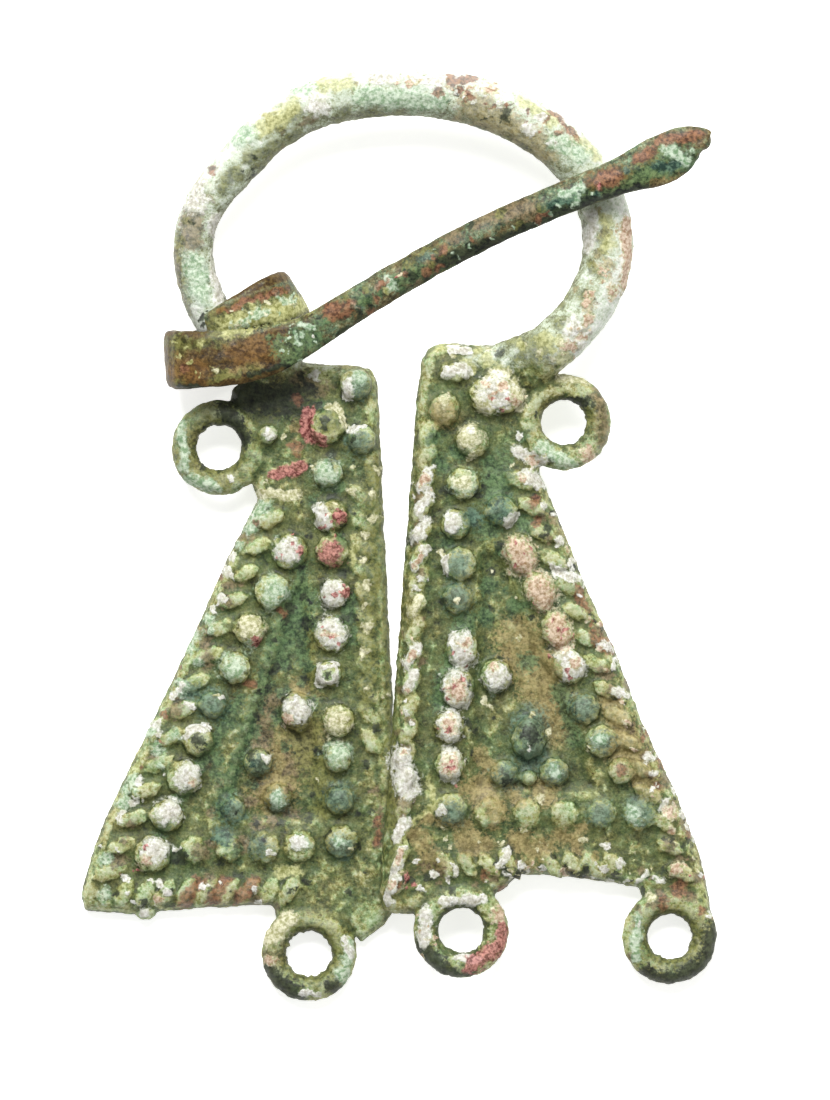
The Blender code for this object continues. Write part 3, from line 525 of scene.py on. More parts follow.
# rod, plates, beads, rope borders and loops are one casting
hoopLook = {
    "voxel": 0.13 * mm, "rounding": 6, "softRounding": {"bars": 26, "worn": 34}, "triangles": 196000,
    "lump": 0.05 * mm, "ripple": 0.060 * mm, "grit": 0.032 * mm, "crust": 0.05 * mm, "skirt": 0.6,
    "teeth": 0.12 * mm,
    "bend": 0.28 * mm, "bite": 0.16 * mm,
    "ground": [(0.0, tone(44, 46, 20)), (0.20, tone(100, 102, 50)), (0.42, tone(148, 154, 88)),
               (0.64, tone(182, 190, 128)), (1.0, tone(230, 234, 188))],
    "greens": [(0.0, tone(26, 50, 28)), (0.20, tone(76, 106, 60)), (0.43, tone(126, 156, 98)),
               (0.68, tone(168, 194, 142)), (1.0, tone(222, 238, 200))],
    "earths": [(0.0, tone(40, 30, 16)), (0.28, tone(94, 80, 40)), (0.52, tone(144, 128, 72)),
               (0.75, tone(182, 168, 114)), (1.0, tone(214, 204, 160))],
    "earthShare": 0.6,
    "bars": [(0.0, tone(76, 76, 50)), (0.22, tone(134, 138, 104)), (0.40, tone(178, 188, 156)),
             (0.58, tone(214, 226, 204)), (0.78, tone(238, 244, 232)), (1.0, tone(252, 252, 246))],
    # the dirt strength also covers the painted shade on the loops' hole walls
    "dirtAndShade": 0.68, "moat": (tone(84, 98, 54), tone(32, 40, 18)),
    "rub": 0.55, "rubLevel": 0.46, "rubbed": (tone(222, 224, 190), tone(160, 164, 120)),
    "rubbedToo": (tone(196, 214, 184), tone(140, 156, 118)),
    "pepper": 0.34, "roughLow": 0.45, "roughHigh": 0.70, "bump": 0.09 * mm,
    "metallic": 0.0, "specular": 0.4,
    # the rod's middle line in plan: centre in metres, half sizes in millimetres, ends in degrees
    "ringMiddle": (0.09 * mm, 19.32 * mm), "ringReach": (13.75, 10.0), "ringArc": (-64, 245),
    "plateEnd": 9.5 * mm, "roundEnd": 10.0 * mm, "rodStart": 13.0 * mm,      # places along y
    # how near is full effect and how far is none, from that line or from the middle of a loop
    "rodPale": (2.0 * mm, 2.7 * mm), "rodRound": (2.2 * mm, 3.2 * mm), "loopRound": (3.0 * mm, 3.5 * mm),
    # the first pair on the next line is the reach of the painted shade on the loops' hole walls
    "holeShadeReach": (2.0 * mm, 2.5 * mm), "holeTeeth": (1.5 * mm, 2.0 * mm),
    # the rod's base tone, its painted shade by facing and on faces that look down, and the painted shade on
    # the loops' hole walls
    "rodLevel": 0.60, "rodFacingShade": 0.24, "rodUnderShade": 0.30, "holeWallShade": 0.55,
    # in photo pixels from here on: loops, then beads and rims that are worn low
    "loops": ((214, 449), (579, 420), (308, 957), (467, 933), (678, 942)),
    "lowBeads": (
        (450, 812, 16), (495, 812, 16), (532, 817, 16), (567, 822, 16), (612, 811, 15), (222, 835, 15),
        (196, 858, 15), (260, 847, 14), (233, 811, 14), (278, 801, 13), (634, 815, 12), (583, 707, 12),
    ),
    "recessRims": (
        (305, 582, 322, 821, 6), (291, 593, 217, 821, 6), (217, 821, 322, 821, 6), (291, 593, 305, 582, 5),
        (480, 549, 468, 791, 6), (468, 791, 600, 791, 6), (500, 552, 600, 791, 6), (480, 549, 500, 552, 5),
    ),
    # where each finish lies: x, y, radius or x, y, x, y, radius
    "patches": {
        "white": [
            # rod, then left plate, right plate and loops
            (217, 220, 221, 318, 7), (196, 203, 12), (200, 183, 11), (318, 105, 12), (372, 79, 398, 79, 6),
            (413, 81, 441, 82, 6), (484, 90, 500, 92, 7), (528, 131, 7), (590, 216, 588, 248, 6),
            (626, 218, 622, 298, 6), (614, 292, 10), (576, 330, 14), (575, 346, 9), (540, 118, 5),
            (270, 434, 5), (315, 375, 5), (347, 382, 348, 396, 5), (350, 429, 364, 427, 4),
            (321, 510, 324, 524, 7), (288, 550, 13), (333, 594, 14), (331, 633, 15), (319, 666, 336, 666, 3),
            (336, 666, 336, 684, 3), (336, 684, 319, 684, 3), (319, 684, 319, 666, 3), (221, 697, 4),
            (186, 736, 190, 728, 4), (190, 728, 206, 728, 4), (187, 777, 13), (169, 812, 13), (155, 851, 14),
            (176, 850, 3), (297, 710, 14), (266, 758, 4), (298, 842, 8), (270, 852, 4), (168, 893, 5),
            (144, 912, 6), (118, 818, 5), (190, 705, 5), (338, 592, 5), (450, 350, 466, 350, 4),
            (448, 372, 464, 371, 6), (496, 392, 18), (470, 432, 5), (519, 436, 4), (518, 452, 538, 462, 7),
            (524, 476, 540, 484, 6), (418, 513, 427, 497, 6), (416, 538, 426, 522, 6),
            (420, 488, 429, 472, 5), (415, 565, 424, 549, 5), (407, 663, 417, 647, 5),
            (406, 689, 415, 673, 5), (396, 838, 405, 822, 6), (395, 865, 402, 850, 4), (453, 522, 9),
            (448, 520, 4), (514, 516, 508, 526, 5), (444, 557, 446, 572, 4), (461, 644, 464, 656, 12),
            (455, 681, 459, 697, 12), (450, 721, 450, 729, 12), (450, 758, 450, 772, 11), (496, 677, 13),
            (565, 655, 578, 668, 9), (566, 676, 6), (553, 568, 574, 579, 6), (529, 748, 3), (441, 810, 5),
            (400, 760, 409, 788, 12), (500, 868, 509, 850, 4), (389, 900, 398, 862, 5), (606, 848, 5),
            (620, 862, 5), (604, 868, 4), (231, 480, 4), (442, 902, 480, 900, 5), (427, 914, 424, 942, 7),
            (458, 958, 480, 958, 4), (709, 916, 4), (640, 925, 3), (345, 940, 351, 955, 4),
            (304, 994, 318, 996, 3),
        ],
        "cream": [
            (326, 405, 338, 407, 3), (341, 410, 345, 428, 3), (331, 545, 3), (325, 556, 2), (338, 558, 2),
            (250, 628, 13), (338, 721, 14), (336, 719, 3), (470, 437, 12), (469, 428, 5), (443, 400, 5),
            (463, 482, 10), (512, 384, 518, 404, 7), (412, 614, 421, 598, 5), (398, 842, 404, 826, 4),
            (561, 378, 583, 380, 5), (270, 938, 288, 920, 9), (490, 376, 505, 374, 5),
            (478, 398, 486, 410, 6), (561, 645, 4), (460, 700, 4), (258, 495, 296, 494, 5), (372, 493, 5),
            (372, 518, 5), (366, 536, 5), (363, 560, 4), (368, 585, 5), (365, 605, 4), (368, 626, 5),
            (365, 653, 5), (366, 688, 4), (378, 470, 3), (650, 898, 4), (540, 800, 5), (352, 492, 4),
        ],
        "mint": [
            (194, 264, 200, 292, 12), (243, 136, 13), (296, 91, 312, 88, 7), (362, 98, 440, 104, 10),
            (558, 142, 578, 158, 11), (326, 473, 13), (262, 505, 250, 528, 8), (274, 590, 14), (270, 606, 7),
            (233, 668, 13), (338, 755, 13), (339, 841, 6), (278, 801, 9), (465, 484, 13), (494, 690, 6),
            (634, 815, 8), (181, 425, 184, 470, 5), (190, 480, 215, 488, 6), (541, 448, 568, 464, 7),
            (350, 945, 343, 978, 6), (638, 918, 636, 958, 5), (555, 773, 7), (360, 379, 8), (600, 740, 8),
            (330, 470, 8), (250, 640, 7), (300, 842, 8),
        ],
        "rose": [
            (193, 178, 5), (627, 225, 626, 288, 6), (612, 292, 7), (588, 320, 7), (568, 346, 8),
            (255, 639, 5), (322, 635, 341, 635, 3), (192, 783, 6), (146, 861, 8), (288, 720, 6),
            (158, 899, 6), (515, 401, 7), (485, 386, 5), (532, 460, 6), (524, 480, 5), (466, 643, 6),
            (456, 684, 458, 694, 9), (450, 725, 10), (493, 667, 6), (518, 550, 523, 563, 15),
            (538, 586, 544, 598, 14), (556, 624, 560, 641, 13), (450, 765, 11), (573, 662, 5), (671, 812, 8),
            (678, 870, 8), (391, 885, 5), (422, 484, 426, 476, 4), (417, 562, 421, 553, 4),
            (409, 660, 413, 652, 3), (397, 861, 401, 853, 4), (500, 388, 506, 384, 4), (490, 400, 4),
            (588, 455, 9), (270, 962, 7), (345, 592, 5), (491, 92, 6), (498, 915, 8), (450, 940, 4),
        ],
        "crimson": [
            (309, 412, 306, 430, 6), (306, 432, 322, 441, 6), (272, 476, 284, 470, 5),
            (292, 470, 300, 466, 6), (300, 550, 6), (331, 553, 12), (472, 966, 498, 946, 8),
            (500, 940, 504, 925, 6), (340, 518, 7), (255, 640, 5), (346, 594, 5),
        ],
        "lime": [
            (262, 130, 292, 108, 9), (322, 86, 350, 84, 8), (522, 102, 552, 122, 6), (578, 140, 598, 158, 5),
            (608, 244, 8), (606, 220, 8), (354, 546, 354, 562, 4), (279, 872, 299, 871, 5),
            (430, 779, 432, 809, 3), (432, 809, 402, 829, 3), (545, 340, 8), (500, 372, 7),
        ],
        "rust": [
            (214, 169, 5), (452, 82, 474, 80, 5), (438, 92, 6), (550, 112, 576, 137, 3), (296, 449, 8),
            (297, 400, 6), (265, 493, 4), (256, 523, 5), (340, 518, 7), (346, 592, 5), (340, 722, 4),
            (283, 613, 5), (250, 684, 5), (183, 905, 198, 884, 6), (210, 902, 226, 880, 6),
            (238, 900, 256, 880, 6), (379, 820, 378, 842, 3), (532, 502, 6), (536, 522, 5), (447, 760, 6),
            (560, 648, 6), (450, 772, 6), (520, 564, 5), (418, 556, 3), (396, 884, 5), (621, 770, 6),
            (576, 596, 586, 608, 5), (594, 636, 606, 650, 6), (680, 889, 8), (663, 905, 7), (486, 876, 5),
            (503, 889, 6), (504, 892, 5), (701, 911, 5), (716, 919, 4), (226, 530, 4), (160, 845, 4),
            (662, 900, 4),
        ],
        "teal": [
            (359, 387, 12), (213, 705, 15), (340, 797, 14), (342, 847, 13), (260, 766, 12), (233, 811, 13),
            (260, 847, 12), (222, 835, 10), (498, 511, 12), (458, 565, 13), (457, 597, 14), (583, 707, 14),
            (602, 741, 12), (530, 722, 530, 756, 16), (507, 777, 14), (555, 773, 12), (452, 812, 13),
            (600, 813, 12), (472, 519, 9), (278, 803, 10), (357, 443, 12), (640, 812, 14), (455, 525, 10),
            (190, 690, 10),
        ],
        "green": [
            (296, 618, 286, 656, 14), (498, 462, 494, 494, 13), (466, 620, 440, 700, 10),
            (350, 600, 350, 640, 8), (240, 700, 150, 850, 7), (288, 600, 220, 815, 7),
            (560, 690, 575, 740, 9), (300, 560, 304, 600, 8),
        ],
        "copper": [],      # only the pin shows any
        # dark patina; the patches at 226–300, 392–440 on the plate's upper left are the strap's painted
        # shadow
        "dark": [
            (203, 315, 203, 325, 3), (196, 262, 3), (208, 281, 3), (316, 109, 3), (506, 115, 7),
            (232, 392, 290, 402, 18), (300, 410, 8), (198, 741, 8), (180, 858, 8), (171, 817, 4),
            (500, 352, 6), (226, 410, 244, 440, 9), (266, 972, 296, 998, 11), (334, 986, 8),
            (420, 948, 440, 970, 12), (440, 972, 462, 978, 10), (715, 932, 708, 962, 11),
            (708, 962, 672, 984, 11), (672, 984, 642, 976, 10), (207, 430, 204, 470, 3), (560, 150, 3),
            (565, 139, 2), (580, 163, 2), (566, 400, 590, 402, 4), (532, 497, 4), (590, 615, 4),
            (672, 840, 4), (327, 676, 4), (530, 735, 10), (505, 780, 6),
        ],
        "ochre": [
            (474, 106, 545, 150, 16), (296, 427, 6), (300, 735, 270, 790, 24), (520, 640, 560, 720, 24),
            (495, 812, 12), (480, 790, 18), (620, 745, 16), (545, 792, 14), (300, 690, 12), (430, 860, 12),
            (540, 850, 14), (470, 840, 12), (443, 413, 13), (272, 120, 8), (480, 755, 520, 800, 8),
            (610, 700, 650, 790, 12), (600, 402, 602, 425, 5),
        ],
        "umber": [
            (192, 218, 190, 244, 13), (176, 250, 178, 300, 4), (597, 392, 603, 440, 8),
            (268, 955, 270, 968, 6), (404, 800, 10), (397, 884, 8), (300, 380, 320, 390, 10), (330, 720, 4),
            (172, 816, 5), (270, 700, 260, 740, 10), (458, 92, 6), (690, 895, 6), (652, 905, 660, 895, 5),
        ],
        "olive": [
            (247, 160, 300, 134, 5), (272, 128, 300, 112, 8), (222, 190, 236, 172, 6),
            (178, 235, 188, 315, 5), (360, 115, 400, 113, 4), (600, 272, 7), (586, 298, 9), (538, 350, 15),
            (214, 449, 40), (308, 957, 36), (678, 942, 34), (467, 925, 8), (579, 420, 20), (512, 340, 8),
            (300, 735, 330, 800, 16), (604, 226, 604, 250, 5), (331, 420, 14), (305, 585, 322, 818, 5),
            (376, 470, 366, 700, 10), (386, 400, 392, 860, 6),
        ],
    },
    # small flakes: finish, x, y, x, y of their line, count, spread, least and largest size, seed
    "flakes": (
        ("white", 558, 500, 700, 880, 46, 8, 2, 6, 1), ("umber", 552, 500, 697, 880, 36, 9, 3, 7, 2),
        ("rust", 552, 500, 697, 880, 22, 8, 2, 5.5, 3), ("rose", 556, 520, 690, 880, 14, 8, 2, 4.5, 25),
        ("dark", 550, 500, 695, 880, 24, 9, 2, 4, 4), ("white", 248, 500, 102, 880, 22, 7, 2, 5, 5),
        ("mint", 248, 500, 102, 880, 24, 8, 3, 7.5, 6), ("green", 300, 600, 280, 680, 26, 9, 4, 9, 26),
        ("green", 330, 440, 240, 870, 30, 26, 4, 9, 42), ("green", 480, 440, 500, 640, 26, 24, 4, 10, 43),
        ("ochre", 425, 835, 600, 850, 34, 12, 4, 10, 44), ("cream", 425, 845, 640, 860, 18, 12, 1.2, 3, 52),
        ("rust", 440, 82, 575, 140, 18, 6, 1.5, 4, 53), ("white", 440, 90, 560, 140, 8, 7, 1.5, 4, 54),
        ("olive", 470, 128, 565, 172, 14, 4, 3, 6, 71), ("umber", 378, 790, 380, 852, 12, 3, 2, 4.5, 72),
        ("dark", 440, 90, 575, 150, 12, 7, 1.2, 2.6, 55), ("ochre", 608, 215, 580, 335, 16, 8, 3, 7, 56),
        ("rose", 630, 215, 575, 345, 16, 6, 1.5, 3.5, 57), ("dark", 195, 200, 190, 330, 12, 9, 1, 2.4, 58),
        ("umber", 195, 210, 350, 90, 14, 8, 2, 5, 59), ("dark", 220, 180, 430, 112, 16, 4, 1.2, 3, 60),
        ("umber", 300, 700, 220, 870, 22, 30, 4, 9, 61), ("lime", 440, 345, 560, 350, 18, 8, 3, 8, 63),
        ("rose", 500, 872, 645, 885, 16, 6, 1.5, 3.5, 64), ("dark", 500, 868, 650, 888, 20, 7, 2, 4.5, 65),
        ("white", 500, 872, 645, 885, 14, 7, 1.2, 3, 66), ("umber", 270, 930, 300, 990, 12, 10, 3, 6, 67),
        ("rose", 424, 915, 430, 950, 8, 5, 1.5, 3, 68), ("umber", 180, 420, 200, 485, 10, 8, 2, 5, 69),
        ("umber", 634, 915, 640, 970, 10, 6, 2, 5, 70), ("dark", 300, 690, 240, 860, 18, 30, 2, 5, 62),
        ("olive", 440, 350, 550, 350, 12, 8, 4, 8, 45), ("cream", 440, 345, 560, 345, 12, 8, 1.5, 4, 46),
        ("dark", 290, 385, 350, 425, 14, 10, 3, 7, 47), ("dark", 300, 600, 270, 700, 12, 10, 3, 6, 27),
        ("dark", 330, 440, 330, 860, 30, 26, 2.5, 6, 28), ("dark", 470, 440, 500, 860, 30, 34, 2.5, 6, 29),
        ("umber", 300, 690, 280, 830, 16, 22, 3, 7, 30), ("rust", 235, 520, 105, 880, 10, 7, 2, 4, 7),
        ("umber", 252, 520, 115, 880, 18, 9, 4, 8, 8), ("white", 422, 480, 396, 880, 14, 5, 1.5, 4, 9),
        ("rose", 422, 480, 396, 880, 10, 5, 1.5, 3.5, 10), ("umber", 425, 440, 396, 880, 16, 7, 2.5, 6, 24),
        ("white", 410, 870, 650, 880, 22, 8, 2, 5, 11), ("umber", 410, 870, 650, 880, 14, 9, 3, 6, 12),
        ("dark", 110, 890, 640, 880, 24, 9, 2, 4.5, 13), ("white", 110, 890, 280, 890, 12, 7, 2, 4.5, 14),
        ("rose", 625, 215, 570, 340, 12, 6, 2, 4.5, 15), ("rose", 370, 80, 500, 90, 18, 4, 1.5, 3, 16),
        ("olive", 195, 215, 350, 95, 14, 9, 3, 7, 17), ("olive", 610, 220, 540, 350, 10, 9, 3, 7, 19),
        ("ochre", 450, 95, 590, 160, 14, 7, 3, 7, 20), ("cream", 300, 420, 330, 840, 20, 40, 1.5, 3.5, 21),
        ("cream", 480, 440, 520, 840, 24, 40, 1.5, 3.5, 22), ("rose", 490, 380, 510, 405, 6, 8, 1.5, 3.5, 23),
    ),
    "redSpecked": (
        (450, 725), (450, 765), (457, 689), (463, 650), (521, 557), (541, 592), (558, 632), (570, 667),
        (288, 550), (331, 594), (331, 635), (331, 517), (152, 855), (500, 395), (396, 870), (690, 870),
    ),
}


def ringDistance(points):
    # how far each point is from the rod's middle line, in plan
    angle = np.radians(np.arange(*hoopLook["ringArc"], 1.0))
    across, along = hoopLook["ringReach"]
    ring = np.stack([across * np.cos(angle), along * np.sin(angle)], axis=1) * mm
    ring += np.array(hoopLook["ringMiddle"])
    best = np.full(len(points), 1.0)
    for spot in ring:
        best = np.minimum(best, np.linalg.norm(points[:, :2] - spot, axis=1))
    return best


def loopOffsets(points):
    # from the middle of each loop to every point, in plan
    return [points[:, :2] - np.array(onBrooch(*spot)) for spot in hoopLook["loops"]]


def rodToneAndShade(points, normals):
    # the rod is pale; its faces turned inward and its faces that look down get painted shade, and its faces
    # turned outward get painted light
    onRod = within(ringDistance(points), *hoopLook["rodPale"])
    onRod *= smoothStep(points[:, 1], hoopLook["plateEnd"], hoopLook["rodStart"])
    outward = points[:, :2] - np.array(hoopLook["ringMiddle"])
    outward /= np.linalg.norm(outward, axis=1)[:, None]
    # how far each face turns outward sets the painted light and shade
    facingShade = (normals[:, :2] * outward).sum(axis=1)
    level = hoopLook["rodLevel"] + hoopLook["rodFacingShade"] * facingShade
    # painted shade on faces that look down
    level += hoopLook["rodUnderShade"] * (normals[:, 2] - 0.7).clip(-1.0, 0.0)
    holeShade = np.zeros(len(points))      # the walls of the loops' holes get painted shade
    for offset in loopOffsets(points):
        away = np.linalg.norm(offset, axis=1)
        inward = -(offset * normals[:, :2]).sum(axis=1) / away.clip(1e-6)
        holeShade += hoopLook["holeWallShade"] * within(away, *hoopLook["holeShadeReach"]) * smoothStep(inward, 0.35, 0.85)
    return onRod, level, holeShade


def weigh(piece, name, share):
    group = piece.vertex_groups.new(name=name)
    steps = share.round(1)
    for weight in np.unique(steps):
        group.add(np.flatnonzero(steps == weight).tolist(), float(weight), "REPLACE")


def markSoftPlaces(piece):
    # the rod and the loops are rounded most, and some beads and the recess rims are worn low
    points = readPoints(piece)
    share = within(ringDistance(points), *hoopLook["rodRound"])
    share *= smoothStep(points[:, 1], hoopLook["roundEnd"], hoopLook["rodStart"])
    for offset in loopOffsets(points):
        away = np.linalg.norm(offset, axis=1)
        share = np.maximum(share, within(away, *hoopLook["loopRound"]))
    weigh(piece, "bars", share)
    wornLow = patchField(points, hoopLook["lowBeads"] + hoopLook["recessRims"])
    weigh(piece, "worn", smoothStep(wornLow, 0.35, 0.60))


def cutTeeth(piece, look):
    # the holes of the loops have small ragged teeth
    points = readPoints(piece)
    normals = readNormals(piece)
    share = np.zeros(len(points))
    for offset in loopOffsets(points):
        away = np.linalg.norm(offset, axis=1)
        share = np.maximum(share, within(away, *look["holeTeeth"]))
    teeth = cloud(points * (1.0, 1.0, 0.3), 0.3 * mm, 2, 6.2)      # drawn out through the thickness
    points += normals * (share * look["teeth"] * teeth)[:, None]
    writePoints(piece, points)


hoopPatches = scattered(hoopLook)
hoop = copyOfNode("hoop", "hoopCasting")
roundOff(hoop, hoopLook)
markSoftPlaces(hoop)
for softPlace, rounds in hoopLook["softRounding"].items():
    applyModifier(hoop, "SMOOTH", factor=0.5, iterations=rounds, vertex_group=softPlace)
cutTeeth(hoop, hoopLook)
corrode(hoop, hoopLook, hoopPatches)
print("hoop shaped", len(hoop.data.polygons))
thinOut(hoop, hoopLook["triangles"])
paint(hoop, hoopLook, hoopPatches, rodToneAndShade)
hoop.data.materials.append(patinaMaterial("hoopPatina", hoopLook))
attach(hoop, "hoop")
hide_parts("hoop")
print("hoop dressed", len(hoop.data.polygons))

# wound strap, shaft and broken tip
pinLook = {
    "voxel": 0.09 * mm, "rounding": 8, "triangles": 90000,
    "tipLumps": ((700.5, 142.0, 0.68 * mm), (691.0, 156.5, 0.54 * mm)),
    "lump": 0.05 * mm, "ripple": 0.022 * mm, "grit": 0.012 * mm, "crust": 0.04 * mm, "skirt": 0.0,
    "bend": 0.28 * mm, "bite": 0.16 * mm,
    "ground": [(0.0, tone(28, 26, 16)), (0.30, tone(74, 68, 42)), (0.54, tone(108, 104, 70)),
               (0.76, tone(140, 144, 104)), (1.0, tone(186, 194, 156))],
    "greens": [(0.0, tone(18, 32, 26)), (0.30, tone(48, 72, 54)), (0.55, tone(92, 120, 90)),
               (0.76, tone(136, 166, 132)), (1.0, tone(194, 216, 188))],
    "earths": [(0.0, tone(32, 20, 14)), (0.30, tone(76, 52, 30)), (0.55, tone(118, 84, 50)),
               (0.78, tone(150, 116, 78)), (1.0, tone(178, 150, 116))],
    "earthShare": 0.45,
    "bars": [(0.0, tone(24, 17, 7)), (0.30, tone(58, 43, 18)), (0.54, tone(86, 65, 28)),
             (0.76, tone(106, 85, 44)), (1.0, tone(124, 104, 64))],
    "dirtAndShade": 0.5, "moat": (tone(64, 62, 38), tone(30, 26, 16)),
    "rub": 0.4, "rubLevel": 0.50, "rubbed": (tone(172, 180, 140), tone(118, 110, 72)),
    "rubbedToo": (tone(150, 134, 96), tone(100, 74, 46)),
    "pepper": 0.22, "roughLow": 0.40, "roughHigh": 0.64, "bump": 0.05 * mm,
    "metallic": 0.0, "specular": 0.28,
    "lumpSquash": 0.62, "tipReach": 0.9 * mm,
    # the strap's base tone, its painted light on faces turned from straight up, its share and where it ends
    "strapLevel": 0.52, "strapSideLight": 0.12, "strapShare": 0.9, "strapEnds": (5.5 * mm, 8.5 * mm),
    "secondStrand": (224, 324, 298, 299, 20),      # in photo pixels, as the patches and flakes
    "patches": {
        "white": [(314, 338, 2)],
        "cream": [(214, 373, 3)],
        "mint": [
            (300, 326, 316, 328, 3), (300, 345, 4), (315, 362, 4), (246, 320, 268, 312, 3), (290, 300, 4),
            (385, 280, 394, 290, 4), (562, 195, 580, 190, 5), (668, 151, 684, 161, 6), (355, 308, 4),
            (576, 200, 4), (300, 364, 4), (690, 153, 3),
        ],
        "rose": [(398, 276, 2)],
        "crimson": [(596, 188, 3), (396, 279, 2)],
        "lime": [(202, 345, 3), (228, 329, 300, 306, 10), (388, 292, 4)],
        "rust": [
            (186, 370, 5), (228, 311, 284, 291, 3), (330, 314, 352, 307, 7), (427, 274, 5), (444, 250, 5),
            (538, 220, 5), (598, 183, 612, 180, 8), (636, 160, 652, 150, 5), (656, 144, 700, 136, 5),
            (376, 299, 4), (372, 314, 5),
        ],
        "copper": [
            (180, 368, 200, 374, 12), (220, 312, 288, 288, 3), (244, 352, 282, 347, 14),
            (330, 314, 352, 307, 8), (232, 352, 8), (596, 184, 614, 180, 12), (636, 160, 700, 136, 5),
        ],
        "green": [
            (290, 352, 308, 340, 15), (288, 362, 304, 372, 7), (560, 206, 640, 184, 9),
            (640, 176, 690, 166, 8), (664, 155, 688, 160, 11), (400, 284, 420, 270, 6),
        ],
        "teal": [
            (359, 310, 4), (422, 260, 432, 258, 4), (584, 204, 594, 198, 5), (625, 174, 3),
            (552, 208, 566, 202, 6), (573, 196, 9), (655, 168, 676, 166, 5),
        ],
        # dark patina; the long strips along the lower edges of the shaft and the strap are painted shade
        "dark": [
            (182, 389, 224, 391, 3), (440, 264, 504, 240, 7), (550, 216, 580, 208, 6),
            (340, 338, 400, 304, 5), (404, 302, 440, 282, 5), (250, 374, 290, 366, 3),
            (506, 238, 548, 222, 5), (646, 188, 600, 200, 3), (470, 226, 4), (410, 276, 5), (588, 200, 5),
        ],
        "ochre": [(628, 186, 676, 176, 5), (230, 374, 262, 368, 4)],
        # umber earth; the first strip, along the top of the front strand, is a painted sheen
        "umber": [
            (226, 344, 262, 343, 8), (478, 222, 530, 208, 8), (452, 238, 7), (600, 180, 614, 176, 8),
            (660, 142, 698, 136, 6), (190, 360, 5),
        ],
        "olive": [
            (220, 326, 300, 300, 16), (640, 174, 13), (182, 344, 208, 346, 5), (206, 374, 226, 374, 5),
            (655, 166, 9), (405, 268, 440, 250, 7), (176, 340, 180, 380, 6), (500, 215, 6), (540, 208, 6),
            (366, 292, 6), (440, 256, 6), (210, 380, 240, 376, 3), (618, 190, 6),
        ],
    },
    "flakes": (
        ("mint", 232, 322, 292, 300, 16, 6, 1.5, 3.5, 31), ("cream", 232, 322, 292, 300, 10, 6, 1.2, 2.5, 32),
        ("mint", 280, 335, 320, 350, 22, 9, 1, 2.6, 33), ("green", 276, 345, 326, 325, 16, 9, 3, 7, 48),
        ("green", 340, 310, 690, 165, 30, 5, 3, 7, 49), ("umber", 330, 312, 640, 175, 22, 5, 3, 7, 50),
        ("lime", 222, 326, 300, 304, 18, 5, 1.5, 4, 51), ("green", 340, 310, 600, 190, 16, 6, 1.5, 4, 34),
        ("dark", 340, 320, 620, 195, 26, 6, 2.5, 6, 35), ("rust", 340, 310, 600, 190, 10, 5, 2, 4, 36),
        ("olive", 340, 305, 690, 160, 24, 6, 3, 7.5, 37), ("mint", 380, 285, 600, 190, 14, 5, 1.2, 2.6, 38),
        ("lime", 176, 345, 215, 385, 8, 8, 1, 2.4, 39), ("olive", 172, 350, 290, 350, 16, 12, 3, 7, 40),
    ),
    "redSpecked": (),
}


def strapToneAndLight(points, normals):
    # the strap is copper brown but for its second strand, and the shaft is greener; faces that turn away from
    # straight up get painted light
    facingShade = pinLook["strapLevel"] + pinLook["strapSideLight"] * (0.8 - normals[:, 2])
    brown = smoothStep(-points[:, 0], *pinLook["strapEnds"]) * pinLook["strapShare"]
    brown *= 1.0 - smoothStep(patchField(points, [pinLook["secondStrand"]]), 0.40, 0.60)
    return brown, facingShade, np.zeros(len(points))


pinPatches = scattered(pinLook)
pin = copyOfNode("pin", "wroughtPin")
# the broken end is blunt, so two flattened lumps fill out its corner
tipPoints = readPoints(pin)
fromTip = tipPoints[:, :2] - onBrooch(*pinLook["tipLumps"][0][:2])
tipZ = float(tipPoints[np.linalg.norm(fromTip, axis=1) < pinLook["tipReach"], 2].mean())
for lumpX, lumpY, lumpRadius in pinLook["tipLumps"]:
    spot = (*onBrooch(lumpX, lumpY), tipZ)
    clearSelection()
    bpy.ops.mesh.primitive_ico_sphere_add(subdivisions=3, radius=lumpRadius, location=spot)
    bpy.ops.transform.resize(value=(1.0, 1.0, pinLook["lumpSquash"]), center_override=spot)
    bpy.ops.object.transform_apply(location=True, rotation=True, scale=True)
    pin.select_set(True)
    bpy.context.view_layer.objects.active = pin
    bpy.ops.object.join()
roundOff(pin, pinLook)
corrode(pin, pinLook, pinPatches)
print("pin shaped", len(pin.data.polygons))
thinOut(pin, pinLook["triangles"])
paint(pin, pinLook, pinPatches, strapToneAndLight)
pin.data.materials.append(patinaMaterial("pinPatina", pinLook))
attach(pin, "pin")
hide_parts("pin")
print("pin dressed", len(pin.data.polygons))

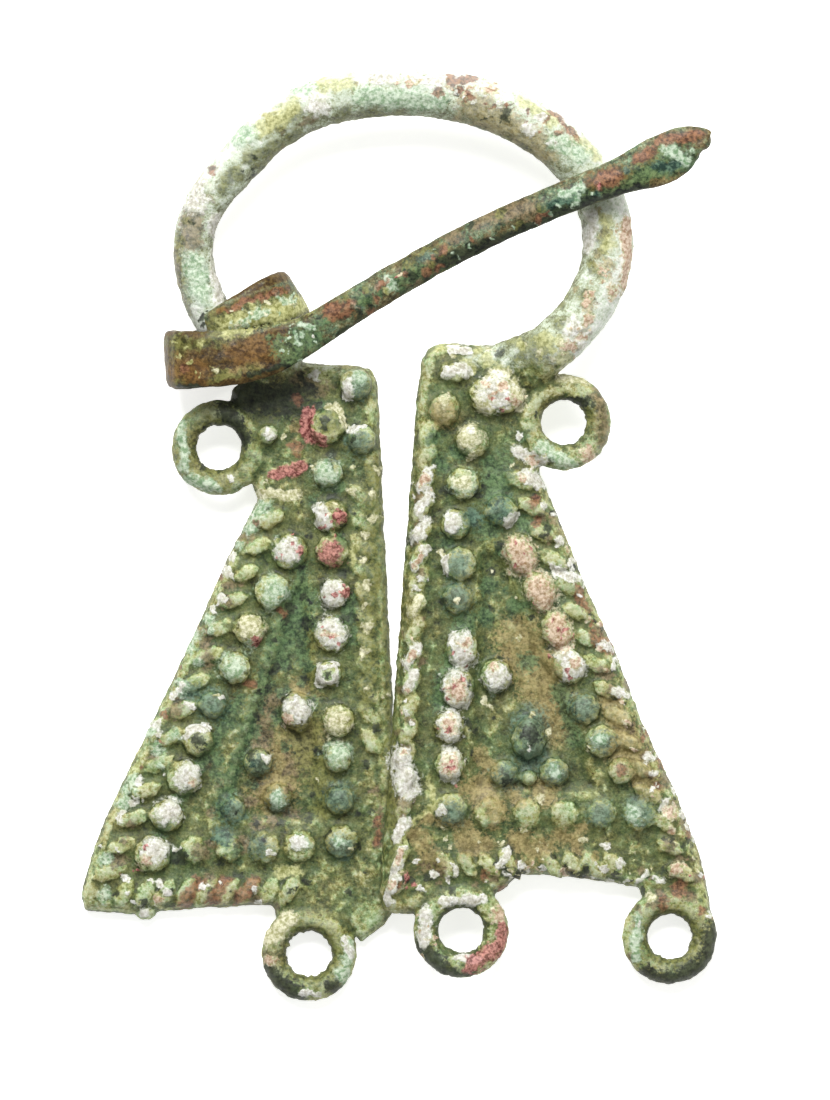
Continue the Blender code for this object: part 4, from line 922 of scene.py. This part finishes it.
studio = {
    "white": (1.0, 1.0, 1.0, 1.0), "paper": (0.90, 0.90, 0.89, 1.0), "paperSize": 3.0, "paperRoughness": 0.9,
    "glow": 0.66, "sky": 0.34,
    # place, size, power and colour of the lights
    "keyLight": ((-0.05, 0.42, 0.50), 0.36, 7.0, (1.0, 1.0, 1.0)),
    "fillLight": ((0.45, -0.10, 0.40), 0.40, 0.4, (1.0, 0.98, 0.96)),
    "lens": 500.0, "sensor": 36.0, "nearest": 0.05, "farthest": 20.0, "focusHeight": 3.0 * mm,
}

clearSelection()
bpy.ops.mesh.primitive_plane_add(size=studio["paperSize"], location=(0.0, 0.0, 0.0))
floor = bpy.context.active_object
floor.name = "paleFloor"
floorMaterial = bpy.data.materials.new("palePaper")
floorMaterial.use_nodes = True
floorSockets = floorMaterial.node_tree.nodes["Principled BSDF"].inputs
floorSockets["Base Color"].default_value = studio["paper"]
floorSockets["Roughness"].default_value = studio["paperRoughness"]
floorSockets["Emission Color"].default_value = studio["white"]
floorSockets["Emission Strength"].default_value = studio["glow"]
floor.data.materials.append(floorMaterial)

world = bpy.data.worlds.new("softRoom")
bpy.context.scene.world = world
world.use_nodes = True
worldSockets = world.node_tree.nodes["Background"].inputs
worldSockets["Color"].default_value = studio["white"]
worldSockets["Strength"].default_value = studio["sky"]


def softLight(name, location, size, power, colour):
    lamp = bpy.data.lights.new(name, "AREA")
    lamp.shape = "SQUARE"
    lamp.size = size
    lamp.energy = power
    lamp.color = colour
    holder = bpy.data.objects.new(name, lamp)
    holder.location = location
    holder.rotation_mode = "QUATERNION"
    holder.rotation_quaternion = (-Vector(location)).to_track_quat("-Z", "Y")
    bpy.context.scene.collection.objects.link(holder)


for name in ("keyLight", "fillLight"):
    softLight(name, *studio[name])

cameraData = bpy.data.cameras.new("overhead")
cameraData.lens = studio["lens"]
cameraData.sensor_width = studio["sensor"]
cameraData.clip_start = studio["nearest"]
cameraData.clip_end = studio["farthest"]
camera = bpy.data.objects.new("overhead", cameraData)
frameX, frameY = onBrooch(*photo["frame"])
distance = photo["height"] * photo["scale"] * studio["lens"] / studio["sensor"]
camera.location = (frameX, frameY, studio["focusHeight"] + distance)
bpy.context.scene.collection.objects.link(camera)
bpy.context.scene.camera = camera
bpy.context.scene.view_settings.view_transform = "Standard"
print("studio set")
